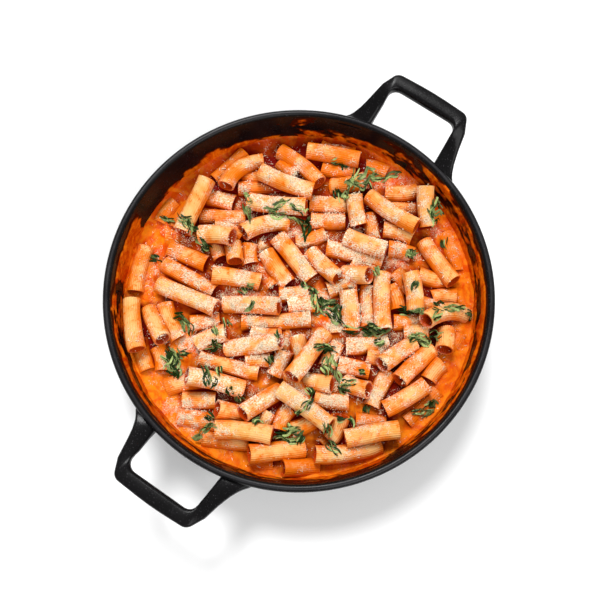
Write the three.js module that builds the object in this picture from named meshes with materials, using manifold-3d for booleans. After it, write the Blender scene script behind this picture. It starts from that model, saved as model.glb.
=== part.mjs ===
// A shallow two-handled cast-iron pan of ridged pasta tubes in creamy tomato sauce, with grated cheese and
// shreds of basil. Millimetres, +Z up, origin at the centre of the pan's base, handles along X.
import * as THREE from "three";
import { mergeVertices } from "three/addons/utils/BufferGeometryUtils.js";
import Module from "manifold-3d";

const wasm = await Module();
wasm.setup();

// ---------------------------------------------------------------- driving dimensions
const PAN = {
  height: 62,
  rimRadius: 140, // to the outside of the rounded rim
  rimThickness: 5.6,
  lean: 0.15, // how far the wall leans outwards for each millimetre up
  corner: 26, // radius of the corner between base and wall, outside
  wall: 5,
  floor: 5,
  sides: 40,
};
const HANDLE = {
  reach: 178.4, // from the pan's axis to the outside of the bar
  barHalf: 30.5, // half the bar's length
  barWidth: 11.8,
  barCorner: 9, // radius of the bar's outer corners
  gapHalf: 27.4, // half the finger gap's length
  gapCorner: 7,
  rootHalf: 47, // from the handle's middle line to the outside of a strut where it leaves the wall
  thickness: 8.5,
  edge: 2, // bevel along every edge
  rise: 11, // of the bar's top face over the rim
  drop: 9, // of a strut's top face under the rim, where it leaves the wall
  slopeFrom: 138, // the struts climb between these two distances from the pan's axis
  slopeTo: 163,
};
const SAUCE_LEVEL = PAN.height - 29;
const GAP = 0.3; // between solids that touch
const TUBE = { radius: 6.6, bore: 4.7, boreDepth: 9, sides: 7, lowSides: 6 };
const HEAP = {
  turn: THREE.MathUtils.degToRad(-55), // the heap's own axes against the handles
  radius: 123, // of the core, which fills the heap under the tubes that show
  bay: 14, // how far the open sauce cuts into the core on one side
  bayAt: THREE.MathUtils.degToRad(-22), // the middle of that side
  coreRise: 1.6, // of the core over the sauce
  crown: 2, // how much higher the lowest tubes lie in the middle than at the edge
  sunk: 3, // how deep the axis of a half-sunk tube lies under the sauce
  squeeze: 0.93, // soft tubes press together to this share of their diameter
};
const BASIL = {
  width: 2.6,
  thickness: 0.9,
  steps: 3, // along a shred
  tilt: 0.35,
  fan: 110, // degrees that the shreds of a bunch spread over
  steepest: 0.45, // slope of a shred over a gap
  over: 15, // rough height of the heap's top over the sauce
};
const DAB = { top: 3, foot: 8, sides: 7 };
const CHEESE = { count: 10, length: 6, width: 1.5, height: 1.1 };
const SEED = 11;

const COLOURS = { iron: 0x17181a, sauce: 0xd8560f, pasta: 0xec9a52, basil: 0x2d5c27 };

// The places below were read looking down from EYE, on a level READ_PLANE. A thing that lies higher or lower
// is moved along its line of sight, so that it still shows where it was read.
const EYE = new THREE.Vector3(1, -141, PAN.height + 591);
const READ_PLANE = PAN.height - 13;

// Each tube of pasta that shows, lowest first: both ends of its axis in the heap's own axes and, for a bent
// one, how far its middle bows to the left. Later tubes lie over earlier ones.
const SUNK_TUBES = [
  [-37, -121, -20, -121],
  [-15, -125, 11, -124],
  [99, -73, 74, -93],
  [110, -37, 124, -41],
  [22, 114, 49, 112],
  [50, 101, 66, 96],
  [-103, 82, -111, 64],
  [-92, 78, -99, 58],
  [115, 47, 116, 16],
];
const LOW_TUBES = [
  [9, 69, 38, 66],
  [-94, 36, -66, 24],
  [52, 60, 54, 40],
  [70, 65, 91, 61],
  [49, 6, 50, -24],
  [67, -22, 92, -20],
  [96, -4, 114, -2],
  [-6, -30, -3, -48],
  [-78, -20, -56, -19],
  [-95, -65, -66, -60],
  [-84, -76, -60, -77],
  [-88, -86, -60, -92],
  [62, -58, 50, -84],
  [36, -87, 58, -90],
  [27, -53, 50, -58],
  [-56, 44, -53, 29],
  [-48, 40, -45, 25],
  [-38, 38, -35, 23],
  [-64, 19, -28, 14],
  [-9, -8, 12, -9],
  [-26, 32, -8, 8],
  [-19, -56, -8, -40],
  [19, 97, 44, 90],
  [25, 85, 52, 90],
  [66, 33, 84, 29],
  [31, 10, 53, 10],
  [-98, -4, -88, -31],
  [69, 16, 80, 2],
  [99, -51, 92, -65],
  [-103, -38, -101, -56],
  [-112, -30, -108, -54],
  [-9, -82, -17, -97],
  [30, -64, 49, -71],
  [3, -63, 24, -66],
  [-60, -81, -38, -86],
  [32, -90, 23, -106],
];
const TOP_TUBES = [
  [-67, 76, -44, 72],
  [-44, 82, -12, 83],
  [-38, 71, 6, 67],
  [-72, 61, -38, 57],
  [-72, 48, -46, 45],
  [-66, 90, -84, 50],
  [-46, 122, -57, 92],
  [-53, 82, -25, 104, 7],
  [-28, 95, 11, 77],
  [-12, 112, 20, 85, 1],
  [8, 112, 48, 103],
  [10, 56, 36, 55],
  [42, 75, 43, 52],
  [67, 73, 91, 79],
  [96, 82, 94, 52],
  [53, 75, 89, 50],
  [-42, 47, -7, 55, 2],
  [-15, 46, 10, 14],
  [8, 32, 31, 11],
  [22, 35, 63, 21],
  [36, 45, 65, 32],
  [92, 38, 112, 5],
  [92, -20, 131, -18, 4],
  [82, 15, 85, -13],
  [60, 17, 61, -26],
  [37, 5, 37, -25],
  [-97, 26, -59, 4],
  [-112, 38, -122, 4],
  [-122, 0, -117, -38],
  [-108, -7, -98, -34],
  [-56, -7, -14, -7],
  [-104, 8, -58, -9],
  [-74, -34, -52, -23],
  [-42, -21, 9, -20],
  [-54, -38, -11, -35],
  [-72, -49, -28, -57],
  [-82, -56, -41, -67],
  [-60, -94, -20, -99],
  [-71, -107, -38, -110],
  [-38, -112, 2, -110],
  [9, -112, 57, -113, -2],
  [30, -103, 68, -97],
  [9, -75, 34, -80],
  [33, -38, 64, -36],
  [82, -36, 56, -54],
  [96, -42, 67, -63],
  [89, -67, 59, -84],
  [106, -27, 104, -44],
  [18, -28, -8, -62],
  [-43, -85, -13, -68],
  [-14, -67, 21, -93],
];

// Where thick sauce holds up a tube that lies on nothing else.
const SAUCE_DABS = [
  [-119, -18],
  [84, 3],
  [106, -17],
];

// Each bunch of basil: its middle in the heap's own axes, half its length, the way it runs in degrees, and
// the number of its shreds.
const BASIL_BUNCHES = {
  basil_north_east: [50, 87, 13, 5, 3],
  basil_under_north_east: [33, 76, 9, 55, 2],
  basil_north: [-7, 64, 14, -20, 3],
  basil_north_west: [-73, 49, 15, -60, 3],
  basil_middle: [20, -10, 11, -60, 3],
  basil_middle_right: [46, -27, 13, -5, 2],
  basil_west: [-91, -45, 12, 70, 3],
  basil_inner_west: [-80, -21, 12, -45, 2],
  basil_left_of_middle: [-60, -31, 8, 70, 2],
  basil_under_middle: [21, -45, 11, 80, 3],
  basil_lower_middle: [30, -66, 9, 10, 2],
  basil_south: [-6, -99, 12, 12, 3],
  basil_east: [88, -34, 9, -15, 2],
  basil_south_east: [86, -84, 10, 20, 2],
  basil_lower_left: [-52, -66, 8, -25, 2],
  basil_south_west: [-70, -97, 13, 30, 2],
  basil_upper_right: [84, 27, 6, -70, 2],
  basil_far_right: [101, 60, 11, 80, 2],
  basil_right_edge: [110, -15, 17, -8, 2],
};

// Where grated cheese lies thickest, in the heap's own axes, each with its radius.
const CHEESE_DRIFTS = [
  [62, -38, 20],
  [37, -12, 22],
  [-74, -76, 18],
  [-30, 74, 26],
  [-6, 12, 26],
  [-30, -40, 36],
  [30, 60, 40],
];

// ---------------------------------------------------------------- solids
function solidOf(geometry) {
  const bare = geometry.clone();
  bare.deleteAttribute("normal");
  bare.deleteAttribute("uv");
  const merged = mergeVertices(bare, 1e-4);
  const mesh = new wasm.Mesh({
    numProp: 3,
    vertProperties: new Float32Array(merged.attributes.position.array),
    triVerts: new Uint32Array(merged.index.array),
  });
  return new wasm.Manifold(mesh);
}

function meshOf(name, solid, colour, roughness, metalness) {
  const { vertProperties, triVerts } = solid.getMesh();
  const geometry = new THREE.BufferGeometry();
  geometry.setAttribute("position", new THREE.BufferAttribute(vertProperties, 3));
  geometry.setIndex(new THREE.BufferAttribute(triVerts, 1));
  geometry.computeVertexNormals();
  const material = new THREE.MeshStandardMaterial({ color: colour, roughness, metalness });
  const mesh = new THREE.Mesh(geometry, material);
  mesh.name = name;
  return mesh;
}

// The one body that holds the rest: loose scraps are dropped, and hollows that are shut in are filled.
const onePiece = (solid) => solid.decompose().reduce((a, b) => (b.volume() > a.volume() ? b : a));

const joined = (solids) => onePiece(wasm.Manifold.union(solids));

// Turns an outline of [radius, height] about Z. It starts and ends on the axis.
function turned(outline, sides) {
  const points = outline.map(([r, z]) => new THREE.Vector2(r, z));
  return new THREE.LatheGeometry(points, sides).rotateX(Math.PI / 2);
}

// A solid skin over rings of points, with a flat cap at each end.
function lofted(rings) {
  const size = rings[0].length;
  const last = (rings.length - 1) * size;
  const index = [];
  for (let i = 0; i < last; i += size) {
    for (let j = 0; j < size; j++) {
      const a = i + j;
      const b = i + ((j + 1) % size);
      index.push(a, b, b + size, a, b + size, a + size);
    }
  }
  for (let j = 1; j + 1 < size; j++) {
    index.push(0, j + 1, j, last, last + j, last + j + 1);
  }
  const geometry = new THREE.BufferGeometry();
  const positions = rings.flat().flatMap((p) => p.toArray());
  geometry.setAttribute("position", new THREE.Float32BufferAttribute(positions, 3));
  return geometry.setIndex(index);
}

// Points along an arc from one angle to another, in degrees.
function arc(x, y, radius, from, to, steps) {
  return Array.from({ length: steps + 1 }, (_, i) => {
    const angle = THREE.MathUtils.degToRad(from + ((to - from) * i) / steps);
    return [x + radius * Math.cos(angle), y + radius * Math.sin(angle)];
  });
}

// ---------------------------------------------------------------- pan
const wallOutside = (z) => PAN.rimRadius - PAN.lean * (PAN.height - z);
const wallInside = (z) => wallOutside(z) - PAN.rimThickness;

function panOutside() {
  const { corner, height, rimRadius, rimThickness } = PAN;
  const round = rimThickness / 2;
  const middle = wallOutside(corner) - corner;
  return [
    [0, 0],
    ...arc(middle, corner, corner, -90, -5, 3),
    ...arc(rimRadius - round, height - round, round, 0, 180, 4),
    [0, height - round],
  ];
}

// The outline of the room inside the pan up to a height, taken in by a gap on every side.
function roomOutline(gap, top) {
  const corner = PAN.corner - PAN.wall;
  const foot = PAN.floor + corner;
  const middle = wallInside(foot) - corner;
  return [
    [0, PAN.floor + gap],
    ...arc(middle, foot, corner - gap, -90, -5, 3),
    [wallInside(top) - gap, top],
    [0, top],
  ];
}

const panRoom = (gap, top) => solidOf(turned(roomOutline(gap, top), PAN.sides));

// The inner and outer edge of half a handle in plan, from inside the wall to the middle of the bar.
function handleEdges() {
  const { reach, barHalf, barWidth, barCorner, gapHalf, gapCorner, rootHalf } = HANDLE;
  const root = PAN.rimRadius - 12;
  const inner = [
    [root, gapHalf + 1],
    [root + 8, gapHalf + 1],
    [root + 16, gapHalf + 0.5],
    [root + 26, gapHalf],
    ...arc(reach - barWidth - gapCorner, gapHalf - gapCorner, gapCorner, 85, 0, 3),
    [reach - barWidth, 0],
  ];
  const outer = [
    [root, rootHalf + 5],
    [root + 5, rootHalf - 1],
    [root + 14, rootHalf - 5],
    [root + 26, rootHalf - 8.5],
    ...arc(reach - 1 - barCorner, barHalf - barCorner, barCorner, 66, 0, 3),
    [reach, 0],
  ];
  return inner.map((point, i) => [point, outer[i]]);
}

// A bevelled section of a handle between its two edges.
function handleSection([inner, outer]) {
  const from = new THREE.Vector2(...inner);
  const to = new THREE.Vector2(...outer);
  const across = to.clone().sub(from);
  const bevel = HANDLE.edge / across.length();
  const climb = THREE.MathUtils.smoothstep((inner[0] + outer[0]) / 2, HANDLE.slopeFrom, HANDLE.slopeTo);
  const top = PAN.height - HANDLE.drop + (HANDLE.drop + HANDLE.rise) * climb;
  const bottom = top - HANDLE.thickness;
  const point = (share, z) => new THREE.Vector3(...from.clone().addScaledVector(across, share), z);
  return [
    point(0, bottom + HANDLE.edge),
    point(bevel, bottom),
    point(1 - bevel, bottom),
    point(1, bottom + HANDLE.edge),
    point(1, top - HANDLE.edge),
    point(1 - bevel, top),
    point(bevel, top),
    point(0, top - HANDLE.edge),
  ];
}

function handleSolid(turn) {
  const half = handleEdges();
  const flip = (points) => points.map(([x, y]) => [x, -y]);
  const mirrored = half.slice(0, -1).reverse().map(flip);
  const rings = [...half, ...mirrored].map(handleSection);
  return solidOf(lofted(rings).rotateZ(turn));
}

function panSolid() {
  const body = solidOf(turned(panOutside(), PAN.sides));
  const handles = [handleSolid(0), handleSolid(Math.PI)];
  return joined([body, ...handles]).subtract(panRoom(0, PAN.height + 20));
}

// ---------------------------------------------------------------- sauce
// Low waves on the open sauce round the heap, and a rim that creeps up the wall.
function sauceHeight(x, y) {
  const r = Math.hypot(x, y);
  const angle = Math.atan2(y, x);
  const open = THREE.MathUtils.smoothstep(r, HEAP.radius - HEAP.bay - 8, HEAP.radius - HEAP.bay + 6);
  const waves = 0.7 * Math.sin(9 * angle) + 0.5 * Math.sin(17 * angle + r / 5);
  const creep = 1.6 * THREE.MathUtils.smoothstep(r, 123, 130);
  return SAUCE_LEVEL + open * waves + creep;
}

function sauceSolid() {
  const edge = wallInside(SAUCE_LEVEL) - GAP;
  const radii = [edge - 4, edge - 13, HEAP.radius - HEAP.bay - 9];
  const outline = roomOutline(GAP, SAUCE_LEVEL).slice(0, -1);
  const geometry = turned([...outline, ...radii.map((r) => [r, SAUCE_LEVEL]), [0, SAUCE_LEVEL]], PAN.sides);
  const position = geometry.attributes.position;
  for (let i = 0; i < position.count; i++) {
    if (position.getZ(i) === SAUCE_LEVEL) {
      position.setZ(i, sauceHeight(position.getX(i), position.getY(i)));
    }
  }
  return solidOf(geometry);
}

// ---------------------------------------------------------------- where each tube comes to rest
// Where a place that was read really lies when it is at height z.
function sighted(x, y, z) {
  const share = (EYE.z - z) / (EYE.z - READ_PLANE);
  return [EYE.x + (x - EYE.x) * share, EYE.y + (y - EYE.y) * share];
}

// How far along two segments their nearest points are, and the way from the second to the first.
function nearest(p, q) {
  const u = p.b.clone().sub(p.a);
  const v = q.b.clone().sub(q.a);
  const w = p.a.clone().sub(q.a);
  const [uu, vv, uv, uw, vw] = [u.dot(u), v.dot(v), u.dot(v), u.dot(w), v.dot(w)];
  const clamp = (share) => Math.min(1, Math.max(0, share));
  const across = uu * vv - uv * uv;
  let s = across > 1e-6 ? clamp((uv * vw - uw * vv) / across) : 0.5;
  const t = clamp((uv * s + vw) / vv);
  s = clamp((uv * t - uw) / uu);
  const way = p.a.clone().addScaledVector(u, s).sub(q.a).addScaledVector(v, -t);
  return { s, t, way };
}

const flat = (tube) => ({ a: tube.a.clone().setZ(0), b: tube.b.clone().setZ(0) });

// Each tube starts level, just above those before it that it crosses.
function startTubes(rows, touch) {
  const tubes = [];
  for (const { row, depth, sides } of rows) {
    const [x0, y0, x1, y1, bow = 0] = row;
    const along = new THREE.Vector2(x1 - x0, y1 - y0);
    const side = new THREE.Vector2(-along.y, along.x).setLength((2 / 3) * bow);
    const homes = [[x0 + side.x, y0 + side.y], [x1 + side.x, y1 + side.y]];
    const rise = HEAP.crown * (1 - Math.hypot(x0 + x1, y0 + y1) / 2 / PAN.rimRadius);
    const bed = SAUCE_LEVEL + rise - depth;
    const tube = { homes, bow, bed, sides, length: along.length() };
    tube.a = new THREE.Vector3(...homes[0], bed);
    tube.b = new THREE.Vector3(...homes[1], bed);
    for (const other of tubes) {
      const { t, way } = nearest(flat(tube), flat(other));
      const distance = way.length();
      if (distance < 0.75 * touch) {
        const height = other.a.z + (other.b.z - other.a.z) * t + Math.sqrt(touch ** 2 - distance ** 2);
        tube.a.z = Math.max(tube.a.z, height);
      }
    }
    tube.b.z = tube.a.z;
    tubes.push(tube);
  }
  return tubes;
}

// Pushes two tubes apart where they are closer than touch.
function part(p, q, touch) {
  const { s, t, way } = nearest(p, q);
  const distance = way.length();
  if (distance >= touch || distance < 1e-6) return;
  way.multiplyScalar((touch - distance) / distance / 2);
  const pull = (tube, share, sign) => {
    const weight = sign / (share ** 2 + (1 - share) ** 2);
    tube.a.addScaledVector(way, (1 - share) * weight);
    tube.b.addScaledVector(way, share * weight);
  };
  pull(p, s, 1);
  pull(q, t, -1);
}

// Holds a tube over its bed, inside the wall and at its own length.
function hold(tube) {
  for (const end of [tube.a, tube.b]) {
    end.z = Math.max(end.z, tube.bed);
    const reach = wallInside(end.z) - TUBE.radius - 2 * GAP;
    const share = Math.min(1, reach / Math.hypot(end.x, end.y));
    end.x *= share;
    end.y *= share;
  }
  const along = tube.b.clone().sub(tube.a);
  const stretch = (tube.length / along.length() - 1) / 2;
  tube.b.addScaledVector(along, stretch);
  tube.a.addScaledVector(along, -stretch);
}

// Lets the tubes sink and slide against each other until the heap is at rest.
function settle(rows) {
  const FALL = 0.25; // millimetres a step
  const HOMING = 0.12; // share of the way back to where it was read, each step
  const STEPS = 160;
  const touch = 2 * TUBE.radius * HEAP.squeeze;
  const tubes = startTubes(rows, touch);
  const pairs = [];
  tubes.forEach((p, i) => {
    for (const q of tubes.slice(i + 1)) {
      if (nearest(flat(p), flat(q)).way.length() < touch + 8) pairs.push([p, q]);
    }
  });
  for (let step = 0; step < STEPS; step++) {
    for (const tube of tubes) {
      for (const [end, home] of [[tube.a, tube.homes[0]], [tube.b, tube.homes[1]]]) {
        end.z -= FALL;
        const [x, y] = sighted(...home, end.z);
        end.x += (x - end.x) * HOMING;
        end.y += (y - end.y) * HOMING;
      }
    }
    for (let round = 0; round < 3; round++) {
      pairs.forEach(([p, q]) => part(p, q, touch));
      tubes.forEach(hold);
    }
  }
  return tubes;
}

const tubes = settle([
  ...SUNK_TUBES.map((row) => ({ row, depth: HEAP.sunk, sides: TUBE.lowSides })),
  ...LOW_TUBES.map((row) => ({ row, depth: 0, sides: TUBE.lowSides })),
  ...TOP_TUBES.map((row) => ({ row, depth: 0, sides: TUBE.sides })),
]);

// ---------------------------------------------------------------- pasta
// A point on a tube's axis. A bent tube bows to its left, level.
function onAxis(tube, share) {
  const point = tube.a.clone().lerp(tube.b, share);
  const along = tube.b.clone().sub(tube.a);
  const left = new THREE.Vector3(-along.y, along.x, 0).setLength(1);
  return point.addScaledVector(left, tube.bow * (4 * share * (1 - share) - 2 / 3));
}

// Whether nothing lies against a tube's end, so that its bore shows.
function endShows(tube, share) {
  const beyond = onAxis(tube, share + (share - 0.5) * (12 / tube.length));
  const spot = { a: beyond, b: beyond.clone().addScalar(1e-3) };
  const clear = tubes.every((other) => other === tube || nearest(spot, other).way.length() > TUBE.radius);
  return clear && beyond.z > SAUCE_LEVEL + 1;
}

// A tube with a blind bore in each end that shows: a turned solid laid along its axis.
function tubeSolid(tube) {
  const { bore, boreDepth } = TUBE;
  const { sides } = tube;
  const radius = (TUBE.radius * HEAP.squeeze + 0.05) / Math.cos(Math.PI / sides); // its flats touch
  const deep = Math.min(boreDepth / tube.length, 0.4);
  const steps = Math.abs(tube.bow) > 1 ? 3 : 1;
  const skin = Array.from({ length: steps + 1 }, (_, i) => [radius, i / steps]);
  const bored = [[0, deep], [bore, deep], [bore, 0]];
  const mouth = endShows(tube, 0) ? bored : [[0, 0]];
  const far = endShows(tube, 1) ? bored : [[0, 0]];
  const end = far.map(([r, share]) => [r, 1 - share]).reverse();
  const geometry = turned([...mouth, ...skin, ...end], sides);
  const position = geometry.attributes.position;
  for (let i = 0; i < position.count; i++) {
    const share = position.getZ(i);
    const along = onAxis(tube, share + 0.01).sub(onAxis(tube, share - 0.01)).normalize();
    const across = new THREE.Vector3(-along.y, along.x, 0).normalize();
    const up = new THREE.Vector3().crossVectors(along, across);
    const point = onAxis(tube, share)
      .addScaledVector(across, position.getX(i))
      .addScaledVector(up, position.getY(i));
    position.setXYZ(i, ...point);
  }
  return solidOf(geometry);
}

// The top of the heap over a place: the highest tube there, or else the core.
function heapTop(x, y) {
  let top = Math.max(coreHeight(x, y), sauceHeight(x, y));
  for (const tube of tubes) {
    const spot = new THREE.Vector3(x, y, 0);
    const { s } = nearest(flat(tube), { a: spot, b: spot.clone().addScalar(1e-3) });
    const axis = onAxis(tube, s);
    const distance = Math.hypot(axis.x - x, axis.y - y);
    if (distance < TUBE.radius) {
      top = Math.max(top, axis.z + Math.sqrt(TUBE.radius ** 2 - distance ** 2));
    }
  }
  return top;
}

// The core's edge draws in where the sauce lies open.
function coreRadius(angle) {
  const away = Math.abs(Math.atan2(Math.sin(angle - HEAP.bayAt), Math.cos(angle - HEAP.bayAt)));
  return HEAP.radius - HEAP.bay * (1 - THREE.MathUtils.smoothstep(away, 0.3, 0.9));
}

// Its top is low and lumpy, and dips under the sauce at the edge.
function coreHeight(x, y) {
  const share = Math.hypot(x, y) / coreRadius(Math.atan2(y, x));
  const lumps = Math.sin(x / 9) * Math.cos(y / 10);
  return SAUCE_LEVEL + HEAP.coreRise * (1 - share ** 12) + lumps * Math.max(0, 1 - share);
}

function coreSolid() {
  const top = SAUCE_LEVEL + 1;
  const bottom = SAUCE_LEVEL - 3;
  const rings = [1, 0.93, 0.55, 0.28].map((share) => [share, top]);
  const geometry = turned([[0, bottom], [1, bottom], ...rings, [0, top]], 20);
  const position = geometry.attributes.position;
  for (let i = 0; i < position.count; i++) {
    const radius = coreRadius(Math.atan2(position.getY(i), position.getX(i)));
    const x = position.getX(i) * radius;
    const y = position.getY(i) * radius;
    position.setXYZ(i, x, y, position.getZ(i) > SAUCE_LEVEL ? coreHeight(x, y) : bottom);
  }
  return solidOf(geometry);
}

// A dab of sauce: a cone from under the heap's skin up into the tube over it.
function dabSolid([x, y]) {
  const bottom = coreHeight(x, y) - 1.5;
  const height = heapTop(x, y) - TUBE.radius - bottom;
  const cone = new THREE.CylinderGeometry(DAB.top, DAB.foot, height, DAB.sides);
  return solidOf(cone.rotateX(Math.PI / 2).translate(x, y, bottom + height / 2));
}

// A small repeatable source of numbers from 0 to 1.
function draws(seed) {
  let state = seed;
  return () => {
    state = (Math.imul(state, 1664525) + 1013904223) >>> 0;
    return state / 2 ** 32;
  };
}

// Shreds of grated cheese, each a low wedge pressed into the top of the heap.
function cheeseSolids() {
  const draw = draws(SEED);
  return Array.from({ length: CHEESE.count }, (_, i) => {
    const [cx, cy, spread] = CHEESE_DRIFTS[i % CHEESE_DRIFTS.length];
    const angle = 2 * Math.PI * draw();
    const away = spread * Math.sqrt(draw());
    const x = cx + away * Math.cos(angle);
    const y = cy + away * Math.sin(angle);
    const length = CHEESE.length * (0.6 + 0.4 * draw());
    const shred = new THREE.CylinderGeometry(CHEESE.height, CHEESE.height, length, 3);
    shred.scale(1, 1, CHEESE.width / CHEESE.height);
    shred.rotateZ(Math.PI / 2).rotateZ(0.6 * (draw() - 0.5)).rotateX(Math.PI / 2);
    shred.rotateZ(Math.PI * draw()).translate(x, y, heapTop(x, y));
    return solidOf(shred);
  });
}

// Whether enough of a tube lies open from above for it to be made.
function shows(tube) {
  const open = [0.1, 0.3, 0.5, 0.7, 0.9].filter((share) => {
    const axis = onAxis(tube, share);
    return heapTop(axis.x, axis.y) < axis.z + TUBE.radius + 0.5;
  });
  return open.length >= 3;
}

function pastaSolid(sauce) {
  const dabs = SAUCE_DABS.map(dabSolid);
  const shown = tubes.filter(shows).map(tubeSolid);
  const heap = wasm.Manifold.union([coreSolid(), ...dabs, ...shown, ...cheeseSolids()]);
  const room = panRoom(GAP, PAN.height + 20);
  return onePiece(heap.intersect(room).subtract(sauce.translate([0, 0, GAP])));
}

// ---------------------------------------------------------------- basil
// How high a shred lies at a place: clear of whatever is highest round it.
function basilRest([x, y]) {
  const near = [-1, 0, 1].map((step) => step * (BASIL.width / 2 + GAP));
  return Math.max(...near.flatMap((dx) => near.map((dy) => heapTop(x + dx, y + dy)))) + 2 * GAP;
}

// One shred: a thin wavy strip through points at given heights.
function shredSolid(points, heights, twist) {
  const half = BASIL.width / 2;
  const rings = points.map(([x, y], i) => {
    const before = points[Math.max(i - 1, 0)];
    const after = points[Math.min(i + 1, points.length - 1)];
    const along = new THREE.Vector2(after[0] - before[0], after[1] - before[1]).normalize();
    const wide = half * (i === 0 || i === points.length - 1 ? 0.45 : 1);
    const tilt = BASIL.tilt * Math.sin(i * 1.7 + twist);
    const low = heights[i] + Math.abs(tilt) * half;
    const corner = (side, up) =>
      new THREE.Vector3(x - along.y * side * wide, y + along.x * side * wide, low + side * tilt * wide + up);
    return [corner(-1, 0), corner(1, 0), corner(1, BASIL.thickness), corner(-1, BASIL.thickness)];
  });
  return solidOf(lofted(rings));
}

// A bunch: shreds that run roughly one way and cross in its middle. They bridge the gaps between the tubes.
function bunchSolid([x, y, reach, heading, count], seed) {
  const draw = draws(SEED + 97 * seed);
  const shreds = Array.from({ length: count }, (_, i) => {
    const fan = ((i - (count - 1) / 2) * BASIL.fan) / count;
    const turn = THREE.MathUtils.degToRad(heading + fan * (0.7 + 0.5 * draw()));
    const along = reach * (0.7 + 0.3 * draw());
    const curl = 0.7 * (draw() - 0.5);
    return Array.from({ length: BASIL.steps + 1 }, (_, k) => {
      const share = (2 * k) / BASIL.steps - 1;
      const angle = turn + curl * share;
      return [x + along * share * Math.cos(angle), y + along * share * Math.sin(angle)];
    });
  });
  const places = shreds.flat().map((point) => sighted(...point, SAUCE_LEVEL + BASIL.over));
  const rests = places.map(basilRest);
  const heights = places.map(([px, py]) => {
    const slopes = places.map(([qx, qy], k) => rests[k] - BASIL.steepest * Math.hypot(qx - px, qy - py));
    return Math.max(...slopes);
  });
  const size = BASIL.steps + 1;
  const solids = shreds.map((_, i) => {
    const from = i * size;
    return shredSolid(places.slice(from, from + size), heights.slice(from, from + size), 6 * draw());
  });
  return joined(solids).intersect(panRoom(GAP, PAN.height + 20));
}

// ---------------------------------------------------------------- the dish
const pan = panSolid();
const sauce = sauceSolid();
const heap = new THREE.Group();
heap.rotation.z = HEAP.turn;
heap.add(meshOf("sauce", sauce, COLOURS.sauce, 0.3, 0));
heap.add(meshOf("pasta", pastaSolid(sauce), COLOURS.pasta, 0.4, 0));
Object.entries(BASIL_BUNCHES).forEach(([name, bunch], i) => {
  heap.add(meshOf(name, bunchSolid(bunch, i + 1), COLOURS.basil, 0.6, 0));
});
const dish = new THREE.Group();
dish.add(meshOf("dish", pan, COLOURS.iron, 0.35, 0.2), heap);

export default dish;
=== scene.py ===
"""A shallow cast-iron pan of ridged pasta in creamy tomato sauce, with grated cheese and shredded basil.

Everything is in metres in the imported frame: the pan stands on z = 0 with its handles along X. The food is
laid out in the heap's own axes, in millimetres where a table lists places, and turned into the frame last.
"""

import math
from types import SimpleNamespace

import bmesh
import bpy
import numpy as np
from mathutils import Matrix, Vector


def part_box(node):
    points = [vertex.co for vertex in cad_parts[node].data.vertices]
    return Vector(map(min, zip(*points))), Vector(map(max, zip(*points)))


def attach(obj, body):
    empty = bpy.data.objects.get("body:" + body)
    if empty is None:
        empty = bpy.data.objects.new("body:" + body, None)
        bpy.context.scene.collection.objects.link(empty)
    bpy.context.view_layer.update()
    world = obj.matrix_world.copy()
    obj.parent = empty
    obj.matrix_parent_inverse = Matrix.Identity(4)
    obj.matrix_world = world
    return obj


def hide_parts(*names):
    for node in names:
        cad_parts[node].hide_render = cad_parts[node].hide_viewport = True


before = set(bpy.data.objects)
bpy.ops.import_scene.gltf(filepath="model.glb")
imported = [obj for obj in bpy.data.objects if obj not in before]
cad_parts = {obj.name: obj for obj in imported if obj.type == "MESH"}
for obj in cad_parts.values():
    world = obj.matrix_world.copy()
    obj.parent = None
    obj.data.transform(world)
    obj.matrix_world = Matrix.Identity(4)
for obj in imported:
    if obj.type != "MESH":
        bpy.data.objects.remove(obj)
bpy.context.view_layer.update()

MM = 0.001
SEED = 11

# ------------------------------------------------------------------ sizes
PAN_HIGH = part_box("dish")[1]
RIM_RADIUS = PAN_HIGH.y
HANDLE_REACH = PAN_HIGH.x
HANDLE_RISE = 11 * MM  # of the handles over the rim
RIM_TOP = PAN_HIGH.z - HANDLE_RISE
RIM_THICK = 5.6 * MM
WALL_LEAN = 0.15  # outwards for each metre up
WALL_CORNER = 26 * MM  # outside radius between base and wall
FLOOR = 5 * MM
SAUCE_LEVEL = RIM_TOP - 29 * MM
TUBE_RADIUS = 6.6 * MM
TUBE_WALL = 1.25 * MM
HEAP_TURN = math.radians(-55)  # the heap's own axes against the handles
HEAP_CROWN = 2 * MM  # how much higher the heap's bed lies in the middle
SUNK_DEPTH = 3 * MM  # how much lower the sunk tubes lie than the low ones
SQUEEZE = 0.93  # soft tubes press together to this share of their diameter
GAP = 0.3 * MM  # a hair: how far the sauce goes into the iron
SAUCE_BELOW = 14 * MM  # how far the sauce between the tubes lies under the heap's tops

# A handle starts inside the wall, under the rim, and climbs over the rim as it goes out.
HANDLE_ROOT = 6 * MM  # from the rim's edge inwards to its start, and outwards to the end of its thick root
HANDLE_DROP = 5 * MM  # of its start under the rim
HANDLE_CLIMB = 34 * MM  # how far out it goes before it is level
HANDLE_THICK = 8.5 * MM
HANDLE_ROUND = 2.4 * MM

# More tubes are fitted between those that were read, in passes: the share of their diameter to which they may
# press together, and the share of a tube that has to show.
BETWEEN_PASSES = [(0.93, 0.5), (0.85, 0.4), (0.75, 0.3), (0.65, 0.2), (0.55, 0.2)]
BETWEEN_TRIES = 900
BETWEEN_RISES = np.array([4, 1.5, -1, -3.5, -6, -8]) * MM  # of a tube's middle over the sauce
BETWEEN_REACH = 107 * MM
MOST_BETWEEN = 125

# The camera stands where the photograph was taken, worked out from the rim's ellipse.
CAMERA = dict(tilt=12.79, azimuth=-144.94, roll=-1.10, distance=0.606, aim=(-0.0050, -0.0045), lens=51.25)

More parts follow.
